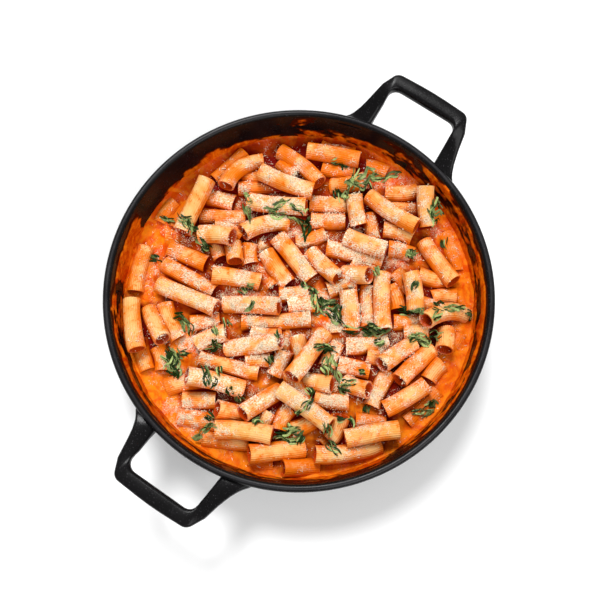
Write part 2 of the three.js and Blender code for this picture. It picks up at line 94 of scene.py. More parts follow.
# Places were read looking down from EYE, in the heap's axes, on a level READ_LEVEL.
EYE = Vector((0.001, -0.141, RIM_TOP + 0.591))
READ_LEVEL = RIM_TOP - 13 * MM

# Both ends of each tube's axis, lowest first, and how far a bent one bows to its left. Later ones lie on top.
SUNK_TUBES = [
    (-37, -121, -20, -121), (-15, -125, 11, -124), (99, -73, 74, -93), (110, -37, 124, -41),
    (22, 114, 49, 112), (50, 101, 66, 96), (-103, 82, -111, 64), (-92, 78, -99, 58), (115, 47, 116, 16),
]
LOW_TUBES = [
    (9, 69, 38, 66), (-94, 36, -66, 24), (52, 60, 54, 40), (70, 65, 91, 61), (49, 6, 50, -24),
    (67, -22, 92, -20), (96, -4, 114, -2), (-6, -30, -3, -48), (-78, -20, -56, -19), (-95, -65, -66, -60),
    (-84, -76, -60, -77), (-88, -86, -60, -92), (62, -58, 50, -84), (36, -87, 58, -90), (27, -53, 50, -58),
    (-56, 44, -53, 29), (-48, 40, -45, 25), (-38, 38, -35, 23), (-64, 19, -28, 14), (-9, -8, 12, -9),
    (-26, 32, -8, 8), (-19, -56, -8, -40), (19, 97, 44, 90), (25, 85, 52, 90), (66, 33, 84, 29),
    (31, 10, 53, 10), (-98, -4, -88, -31), (69, 16, 80, 2), (99, -51, 92, -65), (-103, -38, -101, -56),
    (-112, -30, -108, -54), (-9, -82, -17, -97), (30, -64, 49, -71), (3, -63, 24, -66),
    (-60, -81, -38, -86), (32, -90, 23, -106),
]
TOP_TUBES = [
    (-67, 76, -44, 72), (-44, 82, -12, 83), (-38, 71, 6, 67), (-72, 61, -38, 57), (-72, 48, -46, 45),
    (-66, 90, -84, 50), (-46, 122, -57, 92), (-53, 82, -25, 104, 7), (-28, 95, 11, 77),
    (-12, 112, 20, 85, 1), (8, 112, 48, 103), (10, 56, 36, 55), (42, 75, 43, 52), (67, 73, 91, 79),
    (96, 82, 94, 52), (53, 75, 89, 50), (-42, 47, -7, 55, 2), (-15, 46, 10, 14), (8, 32, 31, 11),
    (22, 35, 63, 21), (36, 45, 65, 32), (92, 38, 112, 5), (92, -20, 131, -18, 4), (82, 15, 85, -13),
    (60, 17, 61, -26), (37, 5, 37, -25), (-97, 26, -59, 4), (-112, 38, -122, 4), (-122, 0, -117, -38),
    (-108, -7, -98, -34), (-56, -7, -14, -7), (-104, 8, -58, -9), (-74, -34, -52, -23), (-42, -21, 9, -20),
    (-54, -38, -11, -35), (-72, -49, -28, -57), (-82, -56, -41, -67), (-60, -94, -20, -99),
    (-71, -107, -38, -110), (-38, -112, 2, -110), (9, -112, 57, -113, -2), (30, -103, 68, -97),
    (9, -75, 34, -80), (33, -38, 64, -36), (82, -36, 56, -54), (96, -42, 67, -63), (89, -67, 59, -84),
    (106, -27, 104, -44), (18, -28, -8, -62), (-43, -85, -13, -68), (-14, -67, 21, -93),
]

# ------------------------------------------------------------------ node trees and meshes
def feed(tree, node, inputs):
    """Sets a node's inputs to plain values, or links them to other nodes' outputs."""
    for key, value in inputs.items():
        if isinstance(value, bpy.types.NodeSocket):
            tree.links.new(value, node.inputs[key])
        else:
            node.inputs[key].default_value = value


def add(tree, kind, inputs=None, **settings):
    """Adds a node, sets it up and feeds its inputs."""
    node = tree.nodes.new(kind)
    for key, value in settings.items():
        setattr(node, key, value)
    feed(tree, node, inputs or {})
    return node


def form(tree, kind, inputs=None, **settings):
    """Adds a geometry node, by the rest of its name, for its first output."""
    return add(tree, "GeometryNode" + kind, inputs, **settings).outputs[0]


def math_node(tree, operation, first, second=0.0, clamp=False):
    return add(tree, "ShaderNodeMath", {0: first, 1: second}, operation=operation, use_clamp=clamp).outputs[0]


def scaled(tree, vector, amount):
    return add(tree, "ShaderNodeVectorMath", {0: vector, "Scale": amount}, operation="SCALE").outputs[0]


def stored(tree, name):
    """A number that the mesh brings with it for each point."""
    return form(tree, "InputNamedAttribute", {"Name": name}, data_type="FLOAT")


def geometry_tree(name, sizes):
    """A geometry tree with named inputs, and its group input's sockets."""
    tree = bpy.data.node_groups.new(name, "GeometryNodeTree")
    tree.interface.new_socket("Geometry", in_out="INPUT", socket_type="NodeSocketGeometry")
    tree.interface.new_socket("Geometry", in_out="OUTPUT", socket_type="NodeSocketGeometry")
    for label, value in sizes.items():
        kind = "NodeSocketInt" if isinstance(value, int) else "NodeSocketFloat"
        tree.interface.new_socket(label, in_out="INPUT", socket_type=kind)
    return tree, add(tree, "NodeGroupInput").outputs


def swept(tree, line, section, caps=False):
    """A section run along a line, turned and scaled by what each of the line's points brings with it."""
    level = form(tree, "SetCurveNormal", {"Curve": line}, mode="Z_UP")
    turned = form(tree, "SetCurveTilt", {"Curve": level, "Tilt": stored(tree, "lean")})
    inputs = {"Curve": turned, "Profile Curve": section, "Scale": stored(tree, "size"), "Fill Caps": caps}
    return form(tree, "CurveToMesh", inputs)


def close_tree(tree, shape, material):
    real = form(tree, "RealizeInstances", {"Geometry": shape})
    finished = form(tree, "SetMaterial", {"Geometry": real, "Material": material})
    add(tree, "NodeGroupOutput", {"Geometry": finished})


def grown(name, seed_mesh, tree, sizes, material):
    """Runs a geometry tree on a mesh and keeps the result as a plain mesh."""
    source = bpy.data.objects.new(name, seed_mesh)
    bpy.context.scene.collection.objects.link(source)
    modifier = source.modifiers.new(name, "NODES")
    modifier.node_group = tree
    for item in tree.interface.items_tree:
        if item.in_out == "INPUT" and item.name in sizes:
            modifier[item.identifier] = sizes[item.name]
    graph = bpy.context.evaluated_depsgraph_get()
    result = source.evaluated_get(graph)
    mesh = bpy.data.meshes.new_from_object(result, preserve_all_data_layers=True, depsgraph=graph)
    bpy.data.objects.remove(source)
    if not mesh.materials or mesh.materials[0] is None:
        mesh.materials.append(material)
    return mesh


def placed(name, mesh, slot, *nodes, turned=True):
    """Makes a finished piece: in the frame's axes, riding on the dish, in place of the CAD nodes named."""
    if turned:
        mesh.transform(Matrix.Rotation(HEAP_TURN, 4, "Z"))
    mesh.name = name
    piece = bpy.data.objects.new(name, mesh)
    bpy.context.scene.collection.objects.link(piece)
    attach(piece, "root")
    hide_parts(*nodes)
    return piece


def ring_mesh(name, rings):
    """A smooth skin over closed rings of points of one size. A ring of a single point makes a pole."""
    vertices = [tuple(point) for ring in rings for point in ring]
    faces = []
    start = 0
    for ring, after in zip(rings, rings[1:]):
        size, next_start = len(ring), start + len(ring)
        count = max(size, len(after))
        for j in range(count):
            k = (j + 1) % count
            if size == 1:
                faces.append((start, next_start + j, next_start + k))
            elif len(after) == 1:
                faces.append((start + j, next_start, start + k))
            else:
                faces.append((start + j, next_start + j, next_start + k, start + k))
        start = next_start
    mesh = bpy.data.meshes.new(name)
    mesh.from_pydata(vertices, [], faces)
    mesh.shade_smooth()
    return mesh


def arc(x, y, radius, start, end, steps):
    angles = np.radians(np.linspace(start, end, steps + 1))
    return [(x + radius * math.cos(a), y + radius * math.sin(a)) for a in angles]


def revolved(name, profile, segments):
    """Turns an outline of (radius, height) about Z. A radius of 0 is a pole."""
    turns = np.linspace(0, 2 * math.pi, segments, endpoint=False)
    rings = []
    for radius, z in profile:
        if radius == 0:
            rings.append([(0, 0, z)])
        else:
            rings.append([(radius * math.cos(a), radius * math.sin(a), z) for a in turns])
    return ring_mesh(name, rings)


# ------------------------------------------------------------------ materials
def colour(*screen):
    """A colour as a screen shows it, its red, green and blue up to 255, in the renderer's linear values."""
    shares = [value / 255 for value in screen]
    return (*(s / 12.92 if s <= 0.04045 else ((s + 0.055) / 1.055) ** 2.4 for s in shares), 1.0)


def new_material(name):
    material = bpy.data.materials.new(name)
    material.use_nodes = True
    tree = material.node_tree
    return material, tree, tree.nodes["Principled BSDF"]


def translucent(tree, shader, weight, depth, spread):
    """Lets light into a soft food: how much of it, how deep, and how far each colour goes."""
    feed(tree, shader, {"Subsurface Weight": weight, "Subsurface Scale": depth, "Subsurface Radius": spread})


def pattern(tree, scale, detail=3.0, roughness=0.55, distortion=0.0):
    """Smooth noise over the object's own axes. The scale is the number of its lumps in a metre."""
    place = add(tree, "ShaderNodeTexCoord").outputs["Object"]
    return add(tree, "ShaderNodeTexNoise", {
        "Vector": place, "Scale": scale, "Detail": detail, "Roughness": roughness, "Distortion": distortion,
    }).outputs["Fac"]


def mixed(tree, factor, first, second):
    node = add(tree, "ShaderNodeMix", {0: factor, 6: first, 7: second}, data_type="RGBA")
    return node.outputs[2]


def bumped(tree, shader, height, distance, strength=1.0):
    bump = add(tree, "ShaderNodeBump", {"Height": height, "Distance": distance, "Strength": strength})
    tree.links.new(bump.outputs["Normal"], shader.inputs["Normal"])


def stretched(tree, value, low, high, to_low=0.0, to_high=1.0):
    """Turns the values from low to high smoothly into those from to_low to to_high."""
    inputs = {0: value, 1: low, 2: high, 3: to_low, 4: to_high}
    return add(tree, "ShaderNodeMapRange", inputs, interpolation_type="SMOOTHSTEP").outputs[0]


def own(tree, name):
    return add(tree, "ShaderNodeAttribute", attribute_name=name).outputs["Fac"]


def glints(tree):
    """A wet shine in small spots, so that it doesn't veil the colour all over."""
    return stretched(tree, pattern(tree, 560, 2), 0.61, 0.7, 0.0, 0.6)


def iron_material():
    """Black matt enamel on cast iron: faintly pitted, greyer in a thin line along the rim's top, partly wear
    and partly painted highlight.
    """
    material, tree, shader = new_material("black_enamel")
    clouds = pattern(tree, 35, 4)
    black = mixed(tree, clouds, colour(8, 7, 8), colour(16, 15, 16))
    # Wear and a painted highlight along the rim's top, broken up by the clouds.
    rim_wear_and_highlight = math_node(tree, "MULTIPLY", own(tree, "rim_wear_and_highlight"), stretched(tree, clouds, 0.35, 0.6, 0.5))
    worn_and_highlit = mixed(tree, rim_wear_and_highlight, black, colour(40, 39, 41))
    specks = stretched(tree, pattern(tree, 1100, 2), 0.64, 0.72, 0.0, 0.7)
    feed(tree, shader, {
        "Base Color": mixed(tree, specks, worn_and_highlit, colour(74, 72, 75)),
        "Roughness": stretched(tree, clouds, 0.3, 0.7, 0.2, 0.32),
        "Specular IOR Level": 0.17,
        "IOR": 1.45,
    })
    bumped(tree, shader, pattern(tree, 900, 4), 0.12 * MM, 0.5)
    return material


def speckled(tree, under):
    """A colour with the finest dust of the cheese over it, where any fell and nothing stood in its way."""
    fine = stretched(tree, pattern(tree, 700, 3, 0.7), 0.44, 0.58)
    specks = math_node(tree, "MULTIPLY", own(tree, "dusted"), fine)
    specks = math_node(tree, "MULTIPLY", specks, 1.7, clamp=True)
    specks = math_node(tree, "MULTIPLY", specks, stretched(tree, own(tree, "deep"), 0.62, 0.35))
    return mixed(tree, specks, under, colour(252, 236, 212))


def pasta_material():
    """Cooked pasta under a thin coat of sauce, strong orange in its grooves, sides and bore; painted paler on
    its upward faces as lit from above, and painted dark red as shade where shut in between tubes.
    """
    material, tree, shader = new_material("sauced_pasta")
    translucent(tree, shader, 0.08, 2.5 * MM, (1.0, 0.6, 0.2))
    patches = pattern(tree, 75, 4, 0.6, 0.4)
    smears = pattern(tree, 230, 3, 0.7)
    grains = pattern(tree, 600, 3)
    # Painted light: the upward faces are painted paler, as lit from above.
    bare = stretched(tree, own(tree, "upward"), 0.3, 1.0, 0.0, 0.62)
    # The coat carries painted shade as well as sauce.
    thick = math_node(tree, "ADD", own(tree, "coat"), stretched(tree, patches, 0.3, 0.7, 0.0, 0.5))
    thick = math_node(tree, "ADD", thick, math_node(tree, "MULTIPLY", own(tree, "groove"), 0.3))
    thick = math_node(tree, "ADD", thick, stretched(tree, smears, 0.5, 0.68, -0.06, 0.42))
    thick = math_node(tree, "SUBTRACT", thick, bare, clamp=True)
    pale = mixed(tree, stretched(tree, patches, 0.35, 0.65), colour(241, 186, 118), colour(234, 158, 76))
    orange = mixed(tree, grains, colour(224, 96, 4), colour(238, 128, 16))
    coated = mixed(tree, stretched(tree, thick, 0.0, 0.75), pale, orange)
    # Painted shade: dark red where the pasta is shut in between tubes.
    sunk = mixed(tree, stretched(tree, own(tree, "deep"), 0.42, 0.92), coated, colour(136, 16, 0))
    bore = mixed(tree, stretched(tree, own(tree, "inside"), 0.5, 1.0), sunk, colour(200, 70, 14))
    feed(tree, shader, {
        "Base Color": speckled(tree, bore),
        "Roughness": stretched(tree, thick, 0.2, 0.9, 0.42, 0.28),
        "Specular IOR Level": 0.05,
        "Coat Weight": glints(tree),
        "Coat Roughness": 0.18,
    })
    bumped(tree, shader, grains, 0.15 * MM, 0.35)
    return material


def sauce_material(name, rich, creamy, deep):
    """Tomato and cream sauce, finely grainy with swirls of paler cream; painted shade and light make it
    redder to the far side, creamier to the near side and dark red between tubes, and on the wall thin film is
    darker.
    """
    material, tree, shader = new_material(name)
    translucent(tree, shader, 0.05, 2 * MM, (1.0, 0.35, 0.05))
    grains = pattern(tree, 420, 4, 0.7)
    swirls = stretched(tree, pattern(tree, 70, 5, 0.6, 1.8), 0.34, 0.66, -0.1, 0.85)
    blend = math_node(tree, "ADD", swirls, stretched(tree, grains, 0.4, 0.8, 0.0, 0.3))
    # Painted shade and light: the sauce is redder towards the far side and creamier towards the near side.
    shaded_side = math_node(tree, "MULTIPLY", own(tree, "shade_across"), 0.3)
    blend = math_node(tree, "SUBTRACT", blend, shaded_side, clamp=True)
    open_sauce = mixed(tree, blend, rich, creamy)
    # Painted shade: dark where shut in between tubes and beside the far wall; on the wall, the film's own
    # darker colour where it is thin.
    sunk = stretched(tree, own(tree, "deep"), 0.3, 0.82)
    feed(tree, shader, {
        "Base Color": speckled(tree, mixed(tree, sunk, open_sauce, deep)),
        "Roughness": stretched(tree, grains, 0.3, 0.7, 0.34, 0.5),
        "Specular IOR Level": 0.02,
        "Coat Weight": glints(tree),
        "Coat Roughness": 0.1,
    })
    bumped(tree, shader, grains, 0.6 * MM, 0.6)
    return material


def cheese_material():
    """Finely grated hard cheese, ivory and slightly waxy."""
    material, tree, shader = new_material("grated_cheese")
    translucent(tree, shader, 0.25, 1 * MM, (1.0, 0.8, 0.5))
    ivory = mixed(tree, pattern(tree, 260, 2), colour(244, 214, 168), colour(252, 238, 212))
    feed(tree, shader, {"Base Color": ivory, "Roughness": 0.5})
    return material


def basil_material():
    """Shredded basil: dark green, with shreds and blotches paler at random; the palest partly stand in for
    highlights, as painted highlight.
    """
    material, tree, shader = new_material("shredded_basil")
    translucent(tree, shader, 0.1, 1 * MM, (0.4, 1.0, 0.2))
    blotches = pattern(tree, 120, 3)
    veins = pattern(tree, 700, 2)
    dark = mixed(tree, veins, colour(10, 26, 4), colour(38, 66, 14))
    fresh = mixed(tree, veins, colour(104, 146, 44), colour(222, 230, 160))
    paler = stretched(tree, blotches, 0.4, 0.7, -0.1, 0.35)
    shade = math_node(tree, "ADD", own(tree, "pale"), paler, clamp=True)
    feed(tree, shader, {
        "Base Color": mixed(tree, shade, dark, fresh),
        "Roughness": stretched(tree, blotches, 0.3, 0.7, 0.36, 0.55),
        "Specular IOR Level": 0.16,
    })
    bumped(tree, shader, veins, 0.2 * MM, 0.5)
    return material


def floor_material():
    material, tree, shader = new_material("white_floor")
    feed(tree, shader, {"Base Color": (0.95, 0.95, 0.95, 1), "Roughness": 0.9})
    return material


# ------------------------------------------------------------------ pan
def wall_outside(z):
    return RIM_RADIUS - WALL_LEAN * (RIM_TOP - z)


def wall_inside(z):
    return wall_outside(z) - RIM_THICK


def room_profile(top):
    """The inside of the pan from a height on the wall down to the middle of the floor."""
    corner = WALL_CORNER - FLOOR
    foot = FLOOR + corner
    middle = wall_inside(foot) - corner
    return [(wall_inside(top), top), *arc(middle, foot, corner, -5, -90, 14), (0, FLOOR)]


def pan_body():
    lip = RIM_THICK / 2
    middle = wall_outside(WALL_CORNER) - WALL_CORNER
    profile = [
        (0, 0),
        (middle - 12 * MM, 0),
        *arc(middle, WALL_CORNER, WALL_CORNER, -90, -6, 16),
        (wall_outside(0.75 * RIM_TOP), 0.75 * RIM_TOP),
        *arc(RIM_RADIUS - lip, RIM_TOP - lip, lip, 0, 180, 12),
        (wall_inside(0.8 * RIM_TOP), 0.8 * RIM_TOP),
        *room_profile(0.55 * RIM_TOP),
    ]
    return revolved("pan", profile, 192)


def handle_edges():
    """Inner and outer edge of half a handle in plan, from inside the wall to the middle of the bar."""
    bar, inner_corner, outer_corner = 11.8 * MM, 7 * MM, 7 * MM
    gap_half, bar_half, root_half = 27.4 * MM, 32.5 * MM, 47 * MM
    root, in_wall = RIM_RADIUS - 12 * MM, RIM_RADIUS - HANDLE_ROOT
    steps = [5, 8, 11, 16, 21, 26]
    inner = [(root + s * MM, gap_half + (1 - s / 26) * MM) for s in steps]
    flare = [0.8, -1.6, -3.4, -5.6, -7.2, -8.6]
    outer = [(root + s * MM, root_half + f * MM) for s, f in zip(steps, flare)]
    inner.append((root + 29 * MM, gap_half))
    outer.append((root + 37 * MM, root_half - 11 * MM))
    for edge, half in ((inner, gap_half + MM), (outer, root_half + 6 * MM)):
        edge.insert(0, (math.sqrt(in_wall ** 2 - half ** 2), half))
    inner += arc(HANDLE_REACH - bar - inner_corner, gap_half - inner_corner, inner_corner, 85, 0, 5)
    outer += arc(HANDLE_REACH - MM - outer_corner, bar_half - outer_corner, outer_corner, 62, 0, 5)
    inner += [(HANDLE_REACH - bar, 10 * MM), (HANDLE_REACH - bar, 0)]
    outer += [(HANDLE_REACH - 0.2 * MM, 10 * MM), (HANDLE_REACH, 0)]
    return list(zip(inner, outer))


def handle_section(edges):
    """A section of the casting between its two edges: flat faces, with every corner rounded."""
    inner, outer = (Vector(edge) for edge in edges)
    across = outer - inner
    reach = (inner.x + outer.x) / 2
    share = (reach - RIM_RADIUS + HANDLE_ROOT) / HANDLE_CLIMB
    climb = 0.5 * smooth(share) + 0.5 * min(1, max(0, share))
    top = RIM_TOP - HANDLE_DROP + (HANDLE_DROP + HANDLE_RISE) * climb
    at_root = smooth((RIM_RADIUS + HANDLE_ROOT - reach) / (14 * MM))
    thick = HANDLE_THICK + 8 * MM * at_root
    section = []
    for side, up, start in ((0, -thick, 180), (1, -thick, 270), (1, 0, 0), (0, 0, 90)):
        cx = HANDLE_ROUND if side == 0 else across.length - HANDLE_ROUND
        cz = up + (HANDLE_ROUND if up < 0 else -HANDLE_ROUND)
        for u, w in arc(cx, cz, HANDLE_ROUND, start, start + 90, 3):
            place = inner + across * (u / across.length)
            section.append((place.x, place.y, top + w))
    return section


def smooth(share):
    share = min(1.0, max(0.0, share))
    return share * share * (3 - 2 * share)


def handle_mesh(turn):
    half = [handle_section(edges) for edges in handle_edges()]
    far = [[(x, -y, z) for x, y, z in ring] for ring in reversed(half[:-1])]
    mesh = ring_mesh("handle", half + far)
    mesh.transform(Matrix.Rotation(turn, 4, "Z"))
    return mesh


def joined_mesh(name, meshes):
    """One mesh out of several, each turned right side out first."""
    whole = bmesh.new()
    for mesh in meshes:
        whole.from_mesh(mesh)
    bmesh.ops.recalc_face_normals(whole, faces=whole.faces)
    result = bpy.data.meshes.new(name)
    whole.to_mesh(result)
    whole.free()
    return result


def give(mesh, name, values):
    """Stores a number for each vertex, for a material to read."""
    attribute = mesh.attributes.new(name, "FLOAT", "POINT")
    attribute.data.foreach_set("value", np.asarray(values, dtype=np.float32))


def line_mesh(lines, **values):
    """A mesh of lines through points, with the numbers that their points bring with them."""
    points, edges = [], []
    for line in lines:
        first = len(points)
        points += line
        edges += [(first + i, first + i + 1) for i in range(len(line) - 1)]
    mesh = bpy.data.meshes.new("lines")
    mesh.from_pydata(points, edges, [])
    for name, numbers in values.items():
        give(mesh, name, numbers)
    return mesh


def points_of(mesh):
    flat_points = np.zeros(len(mesh.vertices) * 3)
    mesh.vertices.foreach_get("co", flat_points)
    return flat_points.reshape(-1, 3)


def make_pan(material):
    mesh = joined_mesh("pan", [pan_body(), handle_mesh(0), handle_mesh(math.pi)])
    x, y, z = points_of(mesh).T
    # A thin line along the rim's top: wear, and a painted highlight.
    on_rim = (z > RIM_TOP - 0.25 * MM) & (np.hypot(x, y) < RIM_RADIUS)
    give(mesh, "rim_wear_and_highlight", on_rim)
    mesh.materials.append(material)
    return placed("pan", mesh, "iron", "dish", turned=False)


# ------------------------------------------------------------------ where each tube comes to rest
def sighted(place, z):
    """Where a place that was read really lies when it is at height z."""
    share = (EYE.z - z) / (EYE.z - READ_LEVEL)
    return EYE.xy + (place - EYE.xy) * share


def nearest(p, q):
    """How far along two tubes' axes their nearest points are, and the way from the second to the first."""
    u, v, w = p.b - p.a, q.b - q.a, p.a - q.a
    uu, vv, uv, uw, vw = u.dot(u), v.dot(v), u.dot(v), u.dot(w), v.dot(w)
    across = uu * vv - uv * uv
    s = min(1.0, max(0.0, (uv * vw - uw * vv) / across)) if across > 1e-18 else 0.5
    t = min(1.0, max(0.0, (uv * s + vw) / vv))
    s = min(1.0, max(0.0, (uv * t - uw) / uu))
    return s, t, w + u * s - v * t


class Tube:
    """A tube of pasta: the two ends of its axis, where it was read, and the lowest that it can lie."""

    def __init__(self, row, depth):
        x0, y0, x1, y1, self.bow = [n * MM for n in (*row, 0)[:5]]
        along = Vector((x1 - x0, y1 - y0))
        side = Vector((-along.y, along.x)).normalized() * (2 / 3 * self.bow)
        self.homes = [Vector((x0, y0)) + side, Vector((x1, y1)) + side]
        self.length = along.length
        rise = HEAP_CROWN * (1 - math.hypot(x0 + x1, y0 + y1) / 2 / RIM_RADIUS)
        self.bed = SAUCE_LEVEL + rise - depth
        self.a, self.b = (home.to_3d() for home in self.homes)
        self.a.z = self.b.z = self.bed
        self.sunk = depth > 0

    def flat(self):
        """Its axis seen from straight above."""
        return SimpleNamespace(a=self.a.xy.to_3d(), b=self.b.xy.to_3d())

    def hold(self):
        """Keeps it over its bed, inside the wall and at its own length."""
        for end in (self.a, self.b):
            end.z = max(end.z, self.bed)
            reach = wall_inside(end.z) - TUBE_RADIUS - 2 * GAP
            share = min(1.0, reach / end.xy.length)
            end.x *= share
            end.y *= share
        along = self.b - self.a
        stretch = along * ((self.length / along.length - 1) / 2)
        self.b += stretch
        self.a -= stretch

    def on_axis(self, share):
        point = self.a.lerp(self.b, share)
        along = self.b - self.a
        left = Vector((-along.y, along.x, 0)).normalized()
        return point + left * (self.bow * (4 * share * (1 - share) - 2 / 3))


def push_apart(p, q, touch):
    s, t, way = nearest(p, q)
    distance = way.length
    if distance >= touch or distance < 1e-9:
        return
    way *= (touch - distance) / distance / 2
    for tube, share, sign in ((p, s, 1), (q, t, -1)):
        weight = sign / (share ** 2 + (1 - share) ** 2)
        tube.a += way * ((1 - share) * weight)
        tube.b += way * (share * weight)


def start_tubes(touch):
    """Each tube starts level, just above those before it that it crosses."""
    rows = [(row, SUNK_DEPTH) for row in SUNK_TUBES] + [(row, 0) for row in LOW_TUBES + TOP_TUBES]
    tubes = []
    for row, depth in rows:
        tube = Tube(row, depth)
        for other in tubes:
            _, t, way = nearest(tube.flat(), other.flat())
            if way.length < 0.75 * touch:
                height = other.a.z + (other.b.z - other.a.z) * t + math.sqrt(touch ** 2 - way.length ** 2)
                tube.a.z = max(tube.a.z, height)
        tube.b.z = tube.a.z
        tubes.append(tube)
    return tubes


def settled_tubes():
    """Lets the tubes sink and slide against each other until the heap is at rest."""
    fall, homing, steps = 0.25 * MM, 0.12, 160
    touch = 2 * TUBE_RADIUS * SQUEEZE
    tubes = start_tubes(touch)
    pairs = [
        (p, q) for i, p in enumerate(tubes) for q in tubes[i + 1:]
        if nearest(p.flat(), q.flat())[2].length < touch + 8 * MM
    ]
    for _ in range(steps):
        for tube in tubes:
            for end, home in zip((tube.a, tube.b), tube.homes):
                end.z -= fall
                end.xy += (sighted(home, end.z) - end.xy) * homing
        for _ in range(3):
            for p, q in pairs:
                push_apart(p, q, touch)
            for tube in tubes:
                tube.hold()
    return tubes


def distances(points, tubes):
    """How far each point is from each tube's axis."""
    starts = np.array([tube.a for tube in tubes])
    ways = np.array([tube.b for tube in tubes]) - starts
    off = points[:, None] - starts
    share = np.clip((off * ways).sum(2) / (ways ** 2).sum(1), 0, 1)
    return np.linalg.norm(off - share[:, :, None] * ways, axis=2)


def laid_across(middle, draws):
    """Points along the axes of tubes that might lie at one place, by heading, height and step."""
    headings = np.arange(12) * math.pi / 12 + draws.uniform(0, math.pi)
    tilt = draws.choice([0.2, 0.7]) * draws.uniform(-1, 1)
    ways = np.column_stack((np.cos(headings), np.sin(headings), np.full(len(headings), tilt)))
    steps = np.linspace(-0.5, 0.5, 7) * draws.uniform(17, 38) * MM
    spots = middle + ways[:, None, None] * steps[:, None]
    return spots + BETWEEN_RISES[:, None, None] * np.array([0, 0, 1])


def tubes_between(tubes, draws):
    """More tubes, wherever one fits between and under those that were read and shows from above."""
    found, tops = [], tube_tops(tubes)
    brim = Cover(np.maximum(tops.values, SAUCE_LEVEL)).spread(7 * MM)
    for squeeze, shown in BETWEEN_PASSES:
        for _ in range(BETWEEN_TRIES):
            bare = (tops.values < SAUCE_LEVEL + 2 * MM) & (np.hypot(Cover.X, Cover.Y) < BETWEEN_REACH)
            cells = np.argwhere(bare)
            i, j = cells[draws.integers(len(cells))]
            middle = np.array([Cover.LINE[i], Cover.LINE[j], SAUCE_LEVEL])
            spots = laid_across(middle, draws)
            x, y, z = spots[..., 0], spots[..., 1], spots[..., 2]
            here = Vector(middle[:2])
            near = [tube for tube in tubes + found if (tube.a.lerp(tube.b, 0.5).xy - here).length < 50 * MM]
            space = distances(spots.reshape(-1, 3), near).min(1).reshape(x.shape).min(2)
            seen = (tops.at(x, y) < z + TUBE_RADIUS - 1 * MM).mean(2)
            under = (brim.at(x, y) + 5 * MM - TUBE_RADIUS - z).min(2) > 0
            inside = np.hypot(x, y).max(2) < 120 * MM
            good = (space > 2 * TUBE_RADIUS * squeeze) & (seen >= shown) & under & inside
            if not good.any() or len(found) >= MOST_BETWEEN:
                continue
            score = np.where(good, seen + BETWEEN_RISES * 20, -1)
            best = np.unravel_index(np.argmax(score), good.shape)
            tube = Tube((0, 0, 1, 0, draws.uniform(-1.5, 1.5)), 0)
            tube.a, tube.b = Vector(spots[best][0]), Vector(spots[best][-1])
            found.append(tube)
            tops = Cover(np.maximum(tops.values, tube_tops([tube]).values))
    return found


# ------------------------------------------------------------------ the heap seen from above
class Cover:
    """Heights, or another amount, over a square grid in the heap's own axes."""

    CELL = 1 * MM
    HALF = 150  # cells from the middle to the edge
    LINE = np.arange(-HALF, HALF + 1) * CELL
    X, Y = np.meshgrid(LINE, LINE, indexing="ij")

    def __init__(self, values):
        self.values = values

    def at(self, x, y):
        last = 2 * self.HALF - 1
        column = np.clip(np.asarray(x) / self.CELL + self.HALF, 0, last)
        row = np.clip(np.asarray(y) / self.CELL + self.HALF, 0, last)
        i, j = column.astype(int), row.astype(int)
        s, t = column - i, row - j
        v = self.values
        near = v[i, j] * (1 - t) + v[i, j + 1] * t
        far = v[i + 1, j] * (1 - t) + v[i + 1, j + 1] * t
        return near * (1 - s) + far * s

    def spread(self, width):
        """The same amounts, each spread over its surroundings."""
        count = int(3 * width / self.CELL)
        bell = np.exp(-0.5 * (np.arange(-count, count + 1) * self.CELL / width) ** 2)
        bell /= bell.sum()
        spread = self.values
        for axis in (0, 1):
            spread = np.apply_along_axis(lambda line: np.convolve(line, bell, "same"), axis, spread)
        return Cover(spread)


def unevenness(draws, width):
    """Smooth bumps of about one width, mostly between -1 and 1."""
    bumps = Cover(draws.standard_normal(Cover.X.shape)).spread(width).values
    return bumps / (2 * bumps.std())


def tube_tops(tubes):
    """The highest the tubes reach over each cell, and the pan's floor where there is none."""
    tops = np.full(Cover.X.shape, FLOOR)
    for tube in tubes:
        axis = [tube.on_axis(share) for share in np.linspace(0, 1, 6)]
        for a, b in zip(axis, axis[1:]):
            low = [int((min(a[k], b[k]) - TUBE_RADIUS) / Cover.CELL) + Cover.HALF for k in (0, 1)]
            high = [int((max(a[k], b[k]) + TUBE_RADIUS) / Cover.CELL) + Cover.HALF + 2 for k in (0, 1)]
            window = np.s_[low[0]:high[0], low[1]:high[1]]
            x, y = Cover.X[window] - a.x, Cover.Y[window] - a.y
            way = (b - a).xy
            share = (x * way.x + y * way.y) / way.length_squared
            off = TUBE_RADIUS ** 2 - (x * way.y - y * way.x) ** 2 / way.length_squared
            on = (share >= -0.02) & (share <= 1.02) & (off > 0)
            top = a.z + (b.z - a.z) * share + np.sqrt(np.maximum(off, 0))
            tops[window] = np.maximum(tops[window], np.where(on, top, 0))
    return Cover(tops)


def shut_in(points, lying):
    """How far each point is shut in by what stands around it, from 0 in the open to 1 far down in a gap: the
    measure of painted shade for the sauce and pasta.
    """
    x, y, z = points
    shut, ways = np.zeros(len(x)), 8
    for turn in np.arange(ways) * 2 * math.pi / ways:
        steepest = np.zeros(len(x))
        for reach in (2 * MM, 4 * MM, 7 * MM, 12 * MM):
            rise = lying.at(x + reach * math.cos(turn), y + reach * math.sin(turn)) - z
            steepest = np.maximum(steepest, rise / reach)
        shut += steepest / np.hypot(1, steepest) / ways
    return shut


